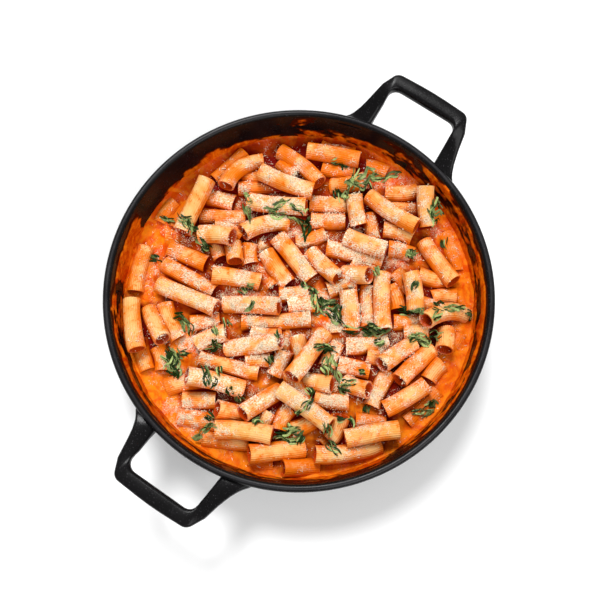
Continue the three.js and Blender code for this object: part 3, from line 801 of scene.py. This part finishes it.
def sauce_surface(tops, draws):
    """The sauce lies level, stands up between the tubes and creeps up against them and the wall."""
    r = np.hypot(Cover.X, Cover.Y)
    level = SAUCE_LEVEL + 0.8 * MM * unevenness(draws, 7 * MM) + 0.45 * MM * unevenness(draws, 2 * MM)
    level += 2.2 * MM * np.exp(-np.maximum(wall_inside(SAUCE_LEVEL) - r, 0) / (2.5 * MM))
    wetted = Cover((tops.values > level).astype(float)).spread(1.8 * MM).values
    level += 1.6 * MM * wetted
    filled = Cover(np.maximum(tops.values, level)).spread(5 * MM).values - SAUCE_BELOW
    filled += 1.2 * MM * unevenness(draws, 3 * MM)
    softness = 0.8 * MM
    return Cover(softness * np.logaddexp(level / softness, filled / softness))


# ------------------------------------------------------------------ sauce
def make_sauce(surface, lying, drifts, material):
    """The sauce as one body: out over the pan's floor, up the wall and back over its open top."""
    edge = wall_inside(SAUCE_LEVEL)
    radii = [*np.linspace(edge - 0.4 * MM, 88 * MM, 52), *np.linspace(86 * MM, 2 * MM, 36)]
    turns = np.linspace(0, 2 * math.pi, 540, endpoint=False)
    cosines, sines = np.cos(turns), np.sin(turns)

    def ring(r, z):
        return np.column_stack((r * cosines, r * sines, np.broadcast_to(z, turns.shape)))

    rings = [[(0, 0, FLOOR - GAP)]]
    outline = room_profile(0.5 * (SAUCE_LEVEL + FLOOR))
    rings += [ring(r + GAP, z - GAP) for r, z in reversed(outline[:-1])]
    wall_top = surface.at(edge * cosines, edge * sines) + 1.2 * MM * np.sin(7 * turns + 1) ** 2
    rings.append(ring(wall_inside(wall_top) + GAP, wall_top))
    rings += [ring(r, surface.at(r * cosines, r * sines)) for r in radii]
    rings.append([(0, 0, float(surface.at(0, 0)))])
    mesh = ring_mesh("tomato_sauce", rings)

    x, y, z = points_of(mesh).T
    r = np.hypot(x, y).clip(MM)
    # Painted shadow of the far wall on the sauce next to it, added to the painted shade.
    wall_shadow = np.clip((y / r - 0.8) / 0.14, 0, 1) * np.clip((r - 92 * MM) / (16 * MM), 0, 1)
    give(mesh, "deep", shut_in((x, y, z), lying) + 0.34 * wall_shadow)
    # Painted shade and light across the pan: from -1 at the near side to 1 at the far side.
    give(mesh, "shade_across", np.clip(y / (0.8 * RIM_RADIUS), -1, 1))
    give(mesh, "dusted", 0.8 * drifts.at(x, y))
    mesh.materials.append(material)
    return placed("tomato_sauce", mesh, "sauce", "sauce")


# Where sauce clings to the wall: from one angle to another, in degrees, from one depth under the rim up to
# another, and how thick, in millimetres.
FILM = [
    (-60, 52, 30, 20, 0.9), (-46, 48, 11, 2, 0.9), (-60, 60, 22, 4, 0.32), (52, 92, 30, 16, 0.7),
    (84, 92, 12, 3, 0.6), (92, 152, 30, 22, 0.8), (112, 126, 27, 15, 0.6), (152, 178, 30, 6, 0.7),
    (178, 252, 30, 20, 0.9), (176, 240, 12, 3, 0.9), (176, 300, 22, 5, 0.12), (252, 302, 30, 15, 0.7),
    (236, 250, 9, 3, 0.5), (262, 286, 9, 3, 0.5),
]


def smears(draws, shape, around, up):
    """Smooth noise over the unrolled wall, of a width given in steps each way, mostly between -1 and 1."""
    noise = draws.standard_normal(shape)
    for axis, width, ends in ((0, around, "wrap"), (1, up, "edge")):
        reach = int(3 * width)
        bell = np.exp(-0.5 * (np.arange(-reach, reach + 1) / width) ** 2)
        padded = np.pad(noise, [(reach, reach) if k == axis else (0, 0) for k in (0, 1)], mode=ends)
        noise = np.apply_along_axis(lambda line: np.convolve(line, bell, "valid"), axis, padded)
    return noise / (2 * noise.std())


def film_thickness(angles, below, draws):
    """How far sauce stands off the wall, in millimetres, at each angle and depth under the rim."""
    soft_angle, soft_depth = 5, 3
    bare = -1.1  # where none clings: so low that the smears seldom bring it over the wall's face
    wiped = 4.5  # nearer to the rim than this, less clings
    thick = np.full(angles.shape, bare)
    for start, end, low, high, most in FILM:
        inside = np.minimum((angles - start + 180) % 360 - 180, (end - angles + 180) % 360 - 180) / soft_angle
        inside = np.minimum(inside, np.minimum(low - below + 2, below - high) / soft_depth)
        thick = np.maximum(thick, most + bare * np.clip(1 - inside, 0, 2))
    for around, up, most in ((9, 4, 0.55), (4, 2.6, 0.55), (1.4, 1.1, 0.25)):
        thick += most * smears(draws, angles.shape, around, up)
    return thick - 0.4 * np.clip(wiped - below, 0, 2)


def make_film(draws, material):
    """The thin coat that stirring left on the wall: patches whose edges dip behind the wall's face."""
    count, steps, thinnest = 1080, 42, -0.3
    turns = np.linspace(0, 2 * math.pi, count, endpoint=False)
    angles, below = np.meshgrid(np.degrees(turns), np.linspace(31, 2.6, steps), indexing="ij")
    thick = film_thickness(angles, below, draws)
    z = RIM_TOP - below * MM
    turns = turns[:, None]
    points = []
    for r in (wall_inside(z) - np.clip(thick, -0.5, 1.3) * MM, wall_inside(z) + 0.8 * MM):
        points.append(np.stack((r * np.cos(turns), r * np.sin(turns), z), axis=2).reshape(-1, 3))

    thicker = np.maximum(thick, np.roll(thick, -1, axis=0))
    thickest = np.maximum(thicker[:, 1:], thicker[:, :-1])
    kept = np.pad(thickest > thinnest, ((0, 0), (1, 1)))
    faces, back = [], count * steps
    for i, k in np.argwhere(kept):
        j = (i + 1) % count
        a, b, c, d = (int(n) for n in (i * steps + k - 1, j * steps + k - 1, j * steps + k, i * steps + k))
        faces += [(a, b, c, d), (back + d, back + c, back + b, back + a)]
        edges = ((kept[i, k - 1], a, b), (kept[j, k], b, c), (kept[i, k + 1], c, d), (kept[i - 1, k], d, a))
        faces += [(p, back + p, back + q, q) for joined, p, q in edges if not joined]
    mesh = bpy.data.meshes.new("sauce_film")
    mesh.from_pydata(np.concatenate(points).tolist(), [], faces)
    # On the wall the same attribute is the film's thinness: thin film is darker over the black iron.
    give(mesh, "deep", np.tile(np.clip(1 - thick.ravel() / 0.9, 0.1, 1), 2))
    mesh.shade_smooth()
    tidied(mesh)
    mesh.materials.append(material)
    return placed("sauce_film", mesh, "sauce", "sauce")


def tidied(mesh):
    """Drops the points that no face uses and turns every face outwards."""
    shape = bmesh.new()
    shape.from_mesh(mesh)
    bmesh.ops.delete(shape, geom=[point for point in shape.verts if not point.link_faces], context="VERTS")
    bmesh.ops.recalc_face_normals(shape, faces=shape.faces)
    shape.to_mesh(mesh)
    shape.free()


# ------------------------------------------------------------------ pasta
def pasta_tree(material, sizes):
    """Hollow ridged tubes along the lines of a mesh."""
    tree, given = geometry_tree("ridged_tubes", sizes)

    def store(shape, name, value, **more):
        inputs = {"Geometry": shape, "Name": name, "Value": value, **more}
        return form(tree, "StoreNamedAttribute", inputs, data_type="FLOAT", domain="POINT")

    ridge_points = math_node(tree, "MULTIPLY", given["Ridges"], 2)
    circle = form(tree, "CurvePrimitiveCircle", {"Resolution": ridge_points, "Radius": given["Radius"]})
    grooved = store(circle, "groove", math_node(tree, "MODULO", form(tree, "InputIndex"), 2))
    cut = math_node(tree, "DIVIDE", given["Ridge Height"], given["Radius"])
    narrowed = math_node(tree, "SUBTRACT", 1.0, math_node(tree, "MULTIPLY", stored(tree, "groove"), cut))
    narrow_place = scaled(tree, form(tree, "InputPosition"), narrowed)
    section = form(tree, "SetPosition", {"Geometry": grooved, "Position": narrow_place})

    axes = form(tree, "MeshToCurve", {"Mesh": given["Geometry"]})
    even = form(tree, "ResampleCurve", {"Curve": axes, "Count": given["Rings"]}, mode="COUNT")
    skin = swept(tree, even, section)

    bumps = add(tree, "ShaderNodeTexNoise", {"Scale": 42.0, "Detail": 1.0}).outputs["Color"]
    middle = (0.5, 0.5, 0.5)
    centred = add(tree, "ShaderNodeVectorMath", {0: bumps, 1: middle}, operation="SUBTRACT").outputs[0]
    soft = form(tree, "SetPosition", {"Geometry": skin, "Offset": scaled(tree, centred, given["Wobble"])})

    inwards = math_node(tree, "MULTIPLY", given["Wall"], -1.0)
    inputs = {"Mesh": soft, "Offset Scale": inwards, "Individual": False}
    bore = add(tree, "GeometryNodeExtrudeMesh", inputs, mode="FACES").outputs
    marked = store(bore["Mesh"], "inside", 1.0, Selection=bore["Top"])
    both = add(tree, "GeometryNodeJoinGeometry", {"Geometry": soft})
    tree.links.new(form(tree, "FlipFaces", {"Mesh": marked}), both.inputs[0])
    whole = form(tree, "MergeByDistance", {"Geometry": both.outputs[0], "Distance": 0.005 * MM})
    close_tree(tree, whole, material)
    return tree


def axis_mesh(tubes, draws):
    """Each tube's axis as a line of points, with how much sauce coats it (painted shade included), its size
    and how it is turned.
    """
    steps = 9
    lines, coats, scales, leans = [], [], [], []
    for tube in tubes:
        lines.append([tube.on_axis(i / (steps - 1)) for i in range(steps)])
        height = (tube.a.z + tube.b.z) / 2 - SAUCE_LEVEL
        # More sauce on the lower and sunk tubes; the lower ones' stronger orange is partly painted shade.
        coat = 0.62 - 0.55 * min(1, max(0, height / (16 * MM))) + draws.uniform(-0.1, 0.16) + 0.3 * tube.sunk
        # Painted shadow of the far wall: the tubes near it take more of the darker, sauced orange.
        coat += 0.3 * min(1, max(0, (tube.on_axis(0.5).y - 72 * MM) / (30 * MM)))
        coats += [coat] * steps
        flare = draws.uniform(0.0, 0.05) * np.abs(np.linspace(-1, 1, steps)) ** 3
        scales += list(draws.uniform(0.95, 1.03) + flare)
        leans += [draws.uniform(0, 6.28)] * steps
    return line_mesh(lines, coat=coats, size=scales, lean=leans)


def make_pasta(name, tubes, tree, sizes, lying, drifts, material, draws):
    """One piece of tubes, with what the material needs to know of each point."""
    mesh = grown(name, axis_mesh(tubes, draws), tree, sizes, material)
    mesh.set_sharp_from_angle(angle=math.radians(50))
    x, y, z = points_of(mesh).T
    # Painted shade: how far each point is shut in between tubes.
    give(mesh, "deep", shut_in((x, y, z), lying))
    give(mesh, "dusted", drifts.at(x, y))
    give(mesh, "upward", [corner.vector.z for corner in mesh.vertex_normals])
    return placed(name, mesh, "pasta", "pasta")


# ------------------------------------------------------------------ grated cheese
# Where grated cheese lies thickest: the place, the radius it spreads over, and how much.
DRIFTS = [
    (62, -38, 15, 1.0), (37, -11, 13, 0.9), (-75, -78, 12, 0.9), (-38, 72, 12, 0.7), (-5, 12, 15, 0.9),
    (-32, -32, 22, 0.8), (-40, -10, 22, 0.6), (10, 50, 30, 0.6), (-20, 84, 22, 0.4), (60, 35, 28, 0.45),
    (75, 60, 16, 0.35), (0, -60, 28, 0.45), (50, -70, 22, 0.4), (-60, -45, 24, 0.55), (42, 124, 8, 0.4),
    (15, -80, 20, 0.3), (-60, 35, 24, 0.35), (100, -15, 14, 0.25), (0, -5, 45, 0.35), (-95, 5, 20, 0.15),
]


def cheese_drifts(draws):
    """How thickly cheese lies over each cell: none to 1."""
    amount = np.zeros(Cover.X.shape)
    for x, y, width, most in DRIFTS:
        off = (Cover.X - x * MM) ** 2 + (Cover.Y - y * MM) ** 2
        amount = 1 - (1 - amount) * (1 - most * np.exp(-0.5 * off / (width * MM) ** 2))
    clumps = np.clip(0.6 + 0.95 * unevenness(draws, 3.5 * MM), 0, 1.6)
    clumps *= np.clip(0.7 + 1.2 * unevenness(draws, 1.5 * MM), 0, 2)
    return Cover(np.clip(amount * clumps, 0, 1))


def cheese_tree(material, sizes):
    """Crumbs and bent shreds scattered over a surface, as many as its own density asks for."""
    tree, given = geometry_tree("scattered_cheese", sizes)
    wanted = math_node(tree, "MULTIPLY", stored(tree, "thickly"), given["Most"])
    inputs = {"Mesh": given["Geometry"], "Density": wanted, "Seed": given["Seed"]}
    spots = add(tree, "GeometryNodeDistributePointsOnFaces", inputs, distribute_method="RANDOM").outputs

    cone = form(tree, "MeshCone", {"Vertices": 3, "Radius Bottom": 0.7, "Depth": 0.8})
    crumb = form(tree, "Transform", {"Geometry": cone, "Rotation": (1.9, 0.4, 0), "Scale": (1.0, 0.8, 0.7)})
    bend = form(tree, "CurvePrimitiveBezierSegment", {
        "Resolution": 2, "Start": (-1.0, 0, 0), "Start Handle": (-0.4, 0.2, 0.15),
        "End Handle": (0.4, 0.2, 0.15), "End": (1.0, 0, 0)})
    section = form(tree, "CurvePrimitiveCircle", {"Resolution": 3, "Radius": given["Thickness"]})
    shred = form(tree, "CurveToMesh", {"Curve": bend, "Profile Curve": section, "Fill Caps": True})

    chance = add(tree, "FunctionNodeRandomValue", {8: given["Seed"]}, data_type="FLOAT").outputs[1]
    spread = math_node(tree, "SUBTRACT", given["Longest"], given["Shortest"])
    size = math_node(tree, "MULTIPLY", math_node(tree, "POWER", chance, 2.5), spread)
    size = math_node(tree, "ADD", size, given["Shortest"])
    inputs = {0: (-0.5, -0.5, -3.2), 1: (0.5, 0.5, 3.2), 8: 7}
    spin = add(tree, "FunctionNodeRandomValue", inputs, data_type="FLOAT_VECTOR").outputs[0]
    inputs = {"Rotation": spots["Rotation"], "Rotate By": spin}
    turned = add(tree, "FunctionNodeRotateRotation", inputs, rotation_space="LOCAL").outputs[0]

    inputs = {6: given["Shreds"], 8: 3}
    is_shred = add(tree, "FunctionNodeRandomValue", inputs, data_type="BOOLEAN").outputs[3]
    is_crumb = add(tree, "FunctionNodeBooleanMath", {0: is_shred}, operation="NOT").outputs[0]
    both = add(tree, "GeometryNodeJoinGeometry")
    for kind, chosen in ((shred, is_shred), (crumb, is_crumb)):
        inputs = {"Points": spots["Points"], "Selection": chosen, "Instance": kind}
        scattered = form(tree, "InstanceOnPoints", {**inputs, "Rotation": turned, "Scale": size})
        tree.links.new(scattered, both.inputs[0])
    close_tree(tree, both.outputs[0], material)
    return tree


def make_cheese(tops, surface, lying, drifts, material):
    """Lets the cheese fall on whatever lies on top, but not on the tubes' steep sides."""
    near = Cover.LINE[np.abs(Cover.LINE) < 128 * MM]
    size = len(near)
    x, y = (part.ravel() for part in np.meshgrid(near, near, indexing="ij"))
    z = lying.at(x, y)
    slope = np.hypot(lying.at(x + 0.5 * MM, y) - lying.at(x - 0.5 * MM, y),
                     lying.at(x, y + 0.5 * MM) - lying.at(x, y - 0.5 * MM)) / MM
    on_sauce = surface.at(x, y) > tops.at(x, y)
    thickly = drifts.at(x, y) * np.clip(1.3 - slope, 0, 1) * np.where(on_sauce, 0.6, 1.0)
    thickly *= np.hypot(x, y) < 127 * MM
    faces = [(i * size + j, (i + 1) * size + j, (i + 1) * size + j + 1, i * size + j + 1)
             for i in range(size - 1) for j in range(size - 1)]
    ground = bpy.data.meshes.new("ground")
    ground.from_pydata(np.column_stack((x, y, z + 0.1 * MM)).tolist(), [], faces)
    give(ground, "thickly", thickly)
    sizes = {
        "Most": 4.7e6,  # to a square metre
        "Seed": SEED,
        "Shreds": 0.22,  # the share that are shreds and not crumbs
        "Thickness": 0.26,
        "Shortest": 0.38 * MM,
        "Longest": 1.45 * MM,
    }
    mesh = grown("grated_cheese", ground, cheese_tree(material, sizes), sizes, material)
    return placed("grated_cheese", mesh, "pasta", "pasta")


# ------------------------------------------------------------------ shredded basil
BASIL_REACH = wall_inside(SAUCE_LEVEL) - 3 * MM
SHREDS_EACH = 6  # side by side along each line of the table, the first in its middle

# Where shreds lie: their paleness from 0 to 1, which partly stands in for highlights as painted highlight,
# then the places that the line runs through.
BASIL = [
    (0.4, -88, 62, -83, 59, -78, 58), (0.3, -78, 58, -79, 52, -78, 48), (0.2, -78, 50, -75, 46, -73, 44),
    (0.1, -76, 46, -70, 40, -63, 36), (0.5, -84, 60, -80, 54, -76, 50), (0.2, -73, 44, -68, 40, -66, 34),
    (0.0, -102, 61, -96, 59, -91, 56), (0.2, -109, 31, -104, 29, -100, 26), (0.9, -38, 72, -34, 74),
    (0.8, -37, 68, -37, 61, -36, 54), (0.6, -25, 66, -18, 66, -12, 68), (0.5, -18, 66, -12, 71, -5, 74),
    (0.4, -5, 70, 2, 66, 8, 60), (0.0, 8, 60, 9, 56, 8, 54), (0.1, 8, 55, 6, 48, 4, 40),
    (0.2, -8, 62, 0, 58, 7, 52), (0.7, -22, 62, -14, 60, -6, 62), (0.1, 26, 102, 30, 103, 33, 102),
    (0.0, 33, 102, 35, 99, 34, 95), (0.5, 28, 80, 30, 75, 33, 70), (0.6, 33, 71, 36, 76, 40, 82),
    (0.7, 38, 80, 42, 86, 46, 90), (0.6, 45, 90, 52, 92, 58, 90), (0.8, 50, 84, 56, 85, 62, 84),
    (0.4, 56, 88, 60, 90, 66, 88), (0.1, 62, 86, 70, 90, 80, 93), (0.3, 40, 88, 48, 84, 56, 80),
    (0.5, 36, 84, 42, 90, 44, 96), (0.4, 103, 70, 101, 66, 99, 60), (0.3, 99, 61, 99, 55, 100, 49),
    (0.6, 98, 66, 102, 60, 104, 54), (0.1, 83, 33, 83, 28, 84, 24), (0.7, 80, 30, 85, 28, 88, 30),
    (0.8, 54, 18, 56, 16, 58, 13), (0.2, 107, 40, 108, 36, 110, 33), (0.2, 86, 9, 83, 5, 81, 2),
    (0.0, -38, 8, -36, 6, -33, 6), (0.8, -35, -3, -36, -8, -39, -13), (0.5, -42, 6, -40, 3, -38, 2),
    (0.4, 2, 9, 5, 6, 9, 3), (0.5, 8, 4, 11, 1, 14, -3), (0.1, 14, -3, 16, -7, 18, -10),
    (0.0, 18, -10, 22, -8, 28, -6), (0.1, 20, -12, 23, -15, 26, -19), (0.2, 25, -16, 28, -20, 30, -24),
    (0.3, 30, -24, 36, -27, 46, -26), (0.6, 13, 0, 12, -8, 14, -14), (0.0, 16, -4, 20, -9, 24, -12),
    (0.5, 21, -5, 25, -4, 29, -6), (0.2, 28, -8, 28, -14, 30, -20), (0.4, 10, -14, 16, -12, 22, -14),
    (0.3, 46, -26, 54, -26, 62, -29), (0.7, 48, -24, 56, -29, 66, -27), (0.5, 54, -38, 57, -36, 60, -34),
    (0.5, 44, -28, 50, -30, 56, -29), (0.2, 70, -12, 76, -15, 82, -16), (0.5, 78, -14, 84, -15, 90, -15),
    (0.4, 96, -10, 102, -11, 107, -12), (0.3, 96, -20, 99, -17, 103, -15),
    (0.3, 104, -12, 112, -12, 120, -13), (0.2, 120, -15, 127, -19, 134, -23),
    (0.2, 80, -31, 86, -32, 92, -33), (0.1, 88, -33, 93, -36, 92, -39), (0.2, 94, -33, 99, -32, 104, -30),
    (0.6, 84, -34, 89, -36, 93, -39), (0.5, 78, -36, 82, -33, 86, -30), (0.4, -90, -13, -84, -14, -80, -17),
    (0.2, -80, -17, -77, -22, -76, -29), (0.6, -86, -16, -82, -20, -80, -26),
    (0.2, -94, -36, -92, -42, -93, -48), (0.1, -98, -42, -94, -48, -92, -54),
    (0.3, -90, -40, -88, -48, -90, -56), (0.0, -94, -50, -90, -54, -84, -57),
    (0.5, -96, -54, -92, -50, -88, -44), (0.2, -86, -41, -81, -41, -77, -40),
    (0.6, -92, -38, -88, -42, -84, -46), (0.1, -88, -52, -86, -56, -88, -60),
    (0.7, -62, -23, -60, -25, -58, -28), (0.1, -58, -35, -62, -38, -68, -39),
    (0.4, -53, -18, -52, -21, -51, -23), (0.3, -62, -32, -60, -36, -56, -40),
    (0.3, -67, -52, -68, -58, -67, -66), (0.4, -58, -52, -57, -55, -56, -58),
    (0.1, -50, -66, -50, -70, -49, -74), (0.5, -64, -56, -62, -62, -64, -68),
    (0.2, -66, -85, -64, -88, -62, -90), (0.8, -60, -92, -66, -95, -70, -99),
    (0.7, -70, -99, -74, -103, -79, -105), (0.2, -17, -28, -16, -30, -15, -32),
    (0.2, -23, -45, -22, -48, -21, -50), (0.2, 10, -38, 16, -38, 22, -40), (0.0, 16, -42, 21, -40, 27, -42),
    (0.6, 20, -45, 19, -49, 17, -52), (0.5, 17, -52, 18, -56, 20, -60), (0.8, 26, -54, 27, -60, 27, -66),
    (0.4, 28, -68, 34, -65, 40, -64), (0.5, 22, -42, 22, -50, 24, -58), (0.3, 27, -66, 30, -70, 36, -72),
    (0.1, 6, -68, 8, -72, 8, -76), (0.2, 8, -76, 4, -80, 0, -84), (0.3, 0, -84, -2, -86, -3, -88),
    (0.0, -20, -102, -14, -102, -8, -104), (0.8, -10, -94, -5, -97, 0, -98),
    (0.7, -8, -100, -3, -100, 2, -98), (0.3, 0, -100, -1, -104, -2, -108),
    (0.1, -16, -98, -10, -98, -4, -96), (0.4, -12, -104, -6, -106, 0, -104),
    (0.1, 25, -90, 29, -90, 32, -90), (0.3, 32, -90, 35, -92, 37, -96), (0.3, 17, -92, 18, -98, 18, -104),
    (0.3, 18, -106, 22, -110, 28, -114), (0.3, 78, -88, 84, -86, 88, -83), (0.5, 88, -83, 91, -81, 92, -78),
    (0.2, 92, -78, 94, -82, 95, -86), (0.4, 95, -86, 90, -86, 84, -90), (0.3, 46, -86, 46, -84, 47, -81),
    (0.2, 42, -58, 44, -57, 46, -57), (0.4, -45, -72, -44, -75, -42, -77),
    (0.6, -34, -92, -30, -90, -26, -91),
]


def basil_tree(material, sizes):
    """Thin shreds along the lines of a mesh, arched across."""
    tree, given = geometry_tree("basil_shreds", sizes)
    inputs = {"Width": given["Width"], "Height": given["Thickness"]}
    section = form(tree, "CurvePrimitiveQuadrilateral", inputs)
    split = form(tree, "SubdivideCurve", {"Curve": section, "Cuts": 2})
    across = add(tree, "ShaderNodeSeparateXYZ", {0: form(tree, "InputPosition")}).outputs[0]
    arch = math_node(tree, "MULTIPLY", math_node(tree, "MULTIPLY", across, across), given["Arch"])
    raised = add(tree, "ShaderNodeCombineXYZ", {"Y": arch}).outputs[0]
    arched = form(tree, "SetPosition", {"Geometry": split, "Offset": raised})
    lines = form(tree, "MeshToCurve", {"Mesh": given["Geometry"]})
    close_tree(tree, swept(tree, lines, arched, caps=True), material)
    return tree


def shred_path(places, lying, draws, sideways, lift):
    """Lays a shred over what is under it, bridging the gaps between tubes, a little wavy."""
    places = [Vector(place) for place in places]
    lengths = np.cumsum([0] + [(q - p).length for p, q in zip(places, places[1:])])
    count = max(5, int(lengths[-1] / (1.0 * MM)))
    along = np.linspace(0, lengths[-1], count)
    x = np.interp(along, lengths, [p.x for p in places])
    y = np.interp(along, lengths, [p.y for p in places])
    for line in (x, y):
        line[1:-1] = (line[:-2] + 2 * line[1:-1] + line[2:]) / 4
    way = Vector((x[-1] - x[0], y[-1] - y[0])).normalized()
    wave = sideways + 1.0 * MM * np.sin(along / (2.2 * MM) + draws.uniform(0, 6.3))
    x, y = x - way.y * wave, y + way.x * wave
    z = lying.at(x, y)
    for _ in range(2):
        spots = [sighted(Vector((u, v)), w) for u, v, w in zip(x, y, z)]
        spots = [spot * min(1, BASIL_REACH / spot.length) for spot in spots]
        z = lying.at([s.x for s in spots], [s.y for s in spots])
    x, y = np.array([s.x for s in spots]), np.array([s.y for s in spots])
    steepest = 0.55 * lengths[-1] / (count - 1)
    for order in (range(1, count), range(count - 2, -1, -1)):
        for i in order:
            before = i - 1 if order.step == 1 else i + 1
            z[i] = max(z[i], z[before] - steepest)
    z[1:-1] = (z[:-2] + 2 * z[1:-1] + z[2:]) / 4
    curl = lift * (2 * along / lengths[-1] - 1) ** 2 * draws.uniform(0.2, 1.2)
    return list(zip(x, y, z + 0.4 * MM + curl))


def make_basil(lying, material, draws):
    """Shreds side by side along each line of the table: one whole, the others parts that curl up more."""
    paths, shades, scales, leans = [], [], [], []
    for shade, *numbers in BASIL:
        places = [(x * MM, y * MM) for x, y in zip(numbers[::2], numbers[1::2])]
        for copy in range(SHREDS_EACH):
            sideways = 0 if copy == 0 else draws.choice([-1, 1]) * draws.uniform(0.6, 2.6) * MM
            path = shred_path(places, lying, draws, sideways, 0.8 * MM * (1 + 0.7 * copy))
            if copy:
                start = draws.integers(0, max(1, len(path) // 3))
                path = path[start:start + max(5, int(len(path) * draws.uniform(0.5, 0.9)))]
            paths.append(path)
            count = len(path)
            # Each shred's tone, paler at random; the palest partly painted highlight.
            paler = shade * draws.uniform(0.4, 1.0) + draws.choice([-0.35, 0.0, 0.65], p=[0.5, 0.26, 0.24])
            shades += [paler] * count
            ends = 1 - np.abs(np.linspace(-1, 1, count)) ** 8 * 0.5
            scales += list(ends * draws.uniform(0.4, 1.0))
            turn = draws.uniform(-2.6, 2.6)
            leans += list(draws.uniform(-0.8, 0.8) + turn * np.linspace(-0.5, 0.5, count))
    shreds = line_mesh(paths, pale=shades, size=scales, lean=leans)
    sizes = {"Width": 1.9 * MM, "Thickness": 0.26 * MM, "Arch": -300.0}
    mesh = grown("basil", shreds, basil_tree(material, sizes), sizes, material)
    bunches = [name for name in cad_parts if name.startswith("basil_")]
    return placed("basil", mesh, "basil", *bunches)


# ------------------------------------------------------------------ light, floor and camera
def make_floor(material):
    half = 20.0
    corners = [(-half, -half, 0), (half, -half, 0), (half, half, 0), (-half, half, 0)]
    mesh = bpy.data.meshes.new("floor")
    mesh.from_pydata(corners, [], [(0, 1, 2, 3)])
    mesh.materials.append(material)
    floor = bpy.data.objects.new("floor", mesh)
    floor.location.z = -0.5 * MM
    bpy.context.scene.collection.objects.link(floor)


def add_light(name, place, width, strength):
    """A soft light that falls evenly from one side. Its place is in the picture's own axes."""
    data = bpy.data.lights.new(name, "SUN")
    data.angle = math.radians(width)
    data.energy = strength
    light = bpy.data.objects.new(name, data)
    light.location = Matrix.Rotation(HEAP_TURN, 4, "Z") @ Vector(place)
    light.rotation_euler = (-light.location).to_track_quat("-Z", "Y").to_euler()
    bpy.context.scene.collection.objects.link(light)


def light_scene():
    world = bpy.data.worlds.new("studio")
    world.use_nodes = True
    background = world.node_tree.nodes["Background"]
    background.inputs["Color"].default_value = (1, 1, 1, 1)
    background.inputs["Strength"].default_value = 0.41
    bpy.context.scene.world = world
    add_light("window", (-0.3, 1.5, 2.5), 20, 2.5)
    add_light("fill", (0.9, -1.6, 2.2), 40, 1.5)
    bpy.context.scene.view_settings.view_transform = "Standard"


def place_camera():
    azimuth, lean = math.radians(CAMERA["azimuth"]), math.radians(CAMERA["tilt"])
    back = Vector((math.cos(azimuth) * math.sin(lean), math.sin(azimuth) * math.sin(lean), math.cos(lean)))
    up = Vector((-math.cos(azimuth), -math.sin(azimuth), 0))
    right = (-back).cross(up).normalized()
    up = right.cross(-back)
    roll = math.radians(CAMERA["roll"])
    right, up = math.cos(roll) * right + math.sin(roll) * up, -math.sin(roll) * right + math.cos(roll) * up
    data = bpy.data.cameras.new("camera")
    data.lens = CAMERA["lens"]
    data.sensor_width = 36
    camera = bpy.data.objects.new("camera", data)
    stand = Vector((*CAMERA["aim"], RIM_TOP)) + back * CAMERA["distance"]
    axes = Matrix((right, up, back)).transposed().to_4x4()
    camera.matrix_world = Matrix.Translation(stand) @ axes
    bpy.context.scene.collection.objects.link(camera)
    bpy.context.scene.camera = camera


# ------------------------------------------------------------------ the dish of pasta
draws = np.random.default_rng(SEED)
tubes = settled_tubes()
for tube in tubes:
    tube.bow += draws.uniform(-1.3, 1.3) * MM
between = tubes_between(tubes, draws)
tops = tube_tops(tubes + between)
surface = sauce_surface(tops, draws)
lying = Cover(np.maximum(tops.values, surface.values))
drifts = cheese_drifts(draws)

make_pan(iron_material())
# The sauce's last colour is painted shade between the tubes; the wall film's is its own colour where thin
# over black iron.
sauce_finish = sauce_material(
    "tomato_cream_sauce", rich=colour(220, 78, 0), creamy=colour(248, 138, 20), deep=colour(116, 8, 0))
make_sauce(surface, lying, drifts, sauce_finish)
film_finish = sauce_material(
    "sauce_on_the_wall", rich=colour(190, 60, 0), creamy=colour(238, 122, 14), deep=colour(62, 14, 2))
make_film(draws, film_finish)

tube_sizes = {"Ridges": 26, "Rings": 16, "Radius": TUBE_RADIUS, "Ridge Height": 0.38 * MM, "Wall": TUBE_WALL,
              "Wobble": 1.9 * MM}
pasta_finish = pasta_material()
tubes_of_pasta = pasta_tree(pasta_finish, tube_sizes)
low = len(SUNK_TUBES) + len(LOW_TUBES)
make_pasta("pasta_below", tubes[:low], tubes_of_pasta, tube_sizes, lying, drifts, pasta_finish, draws)
plainer = {**tube_sizes, "Ridges": 20, "Rings": 9}
make_pasta("pasta_between", between, tubes_of_pasta, plainer, lying, drifts, pasta_finish, draws)
make_pasta("pasta_above", tubes[low:], tubes_of_pasta, tube_sizes, lying, drifts, pasta_finish, draws)
make_cheese(tops, surface, lying, drifts, cheese_material())
make_basil(lying, basil_material(), draws)

make_floor(floor_material())
light_scene()
place_camera()
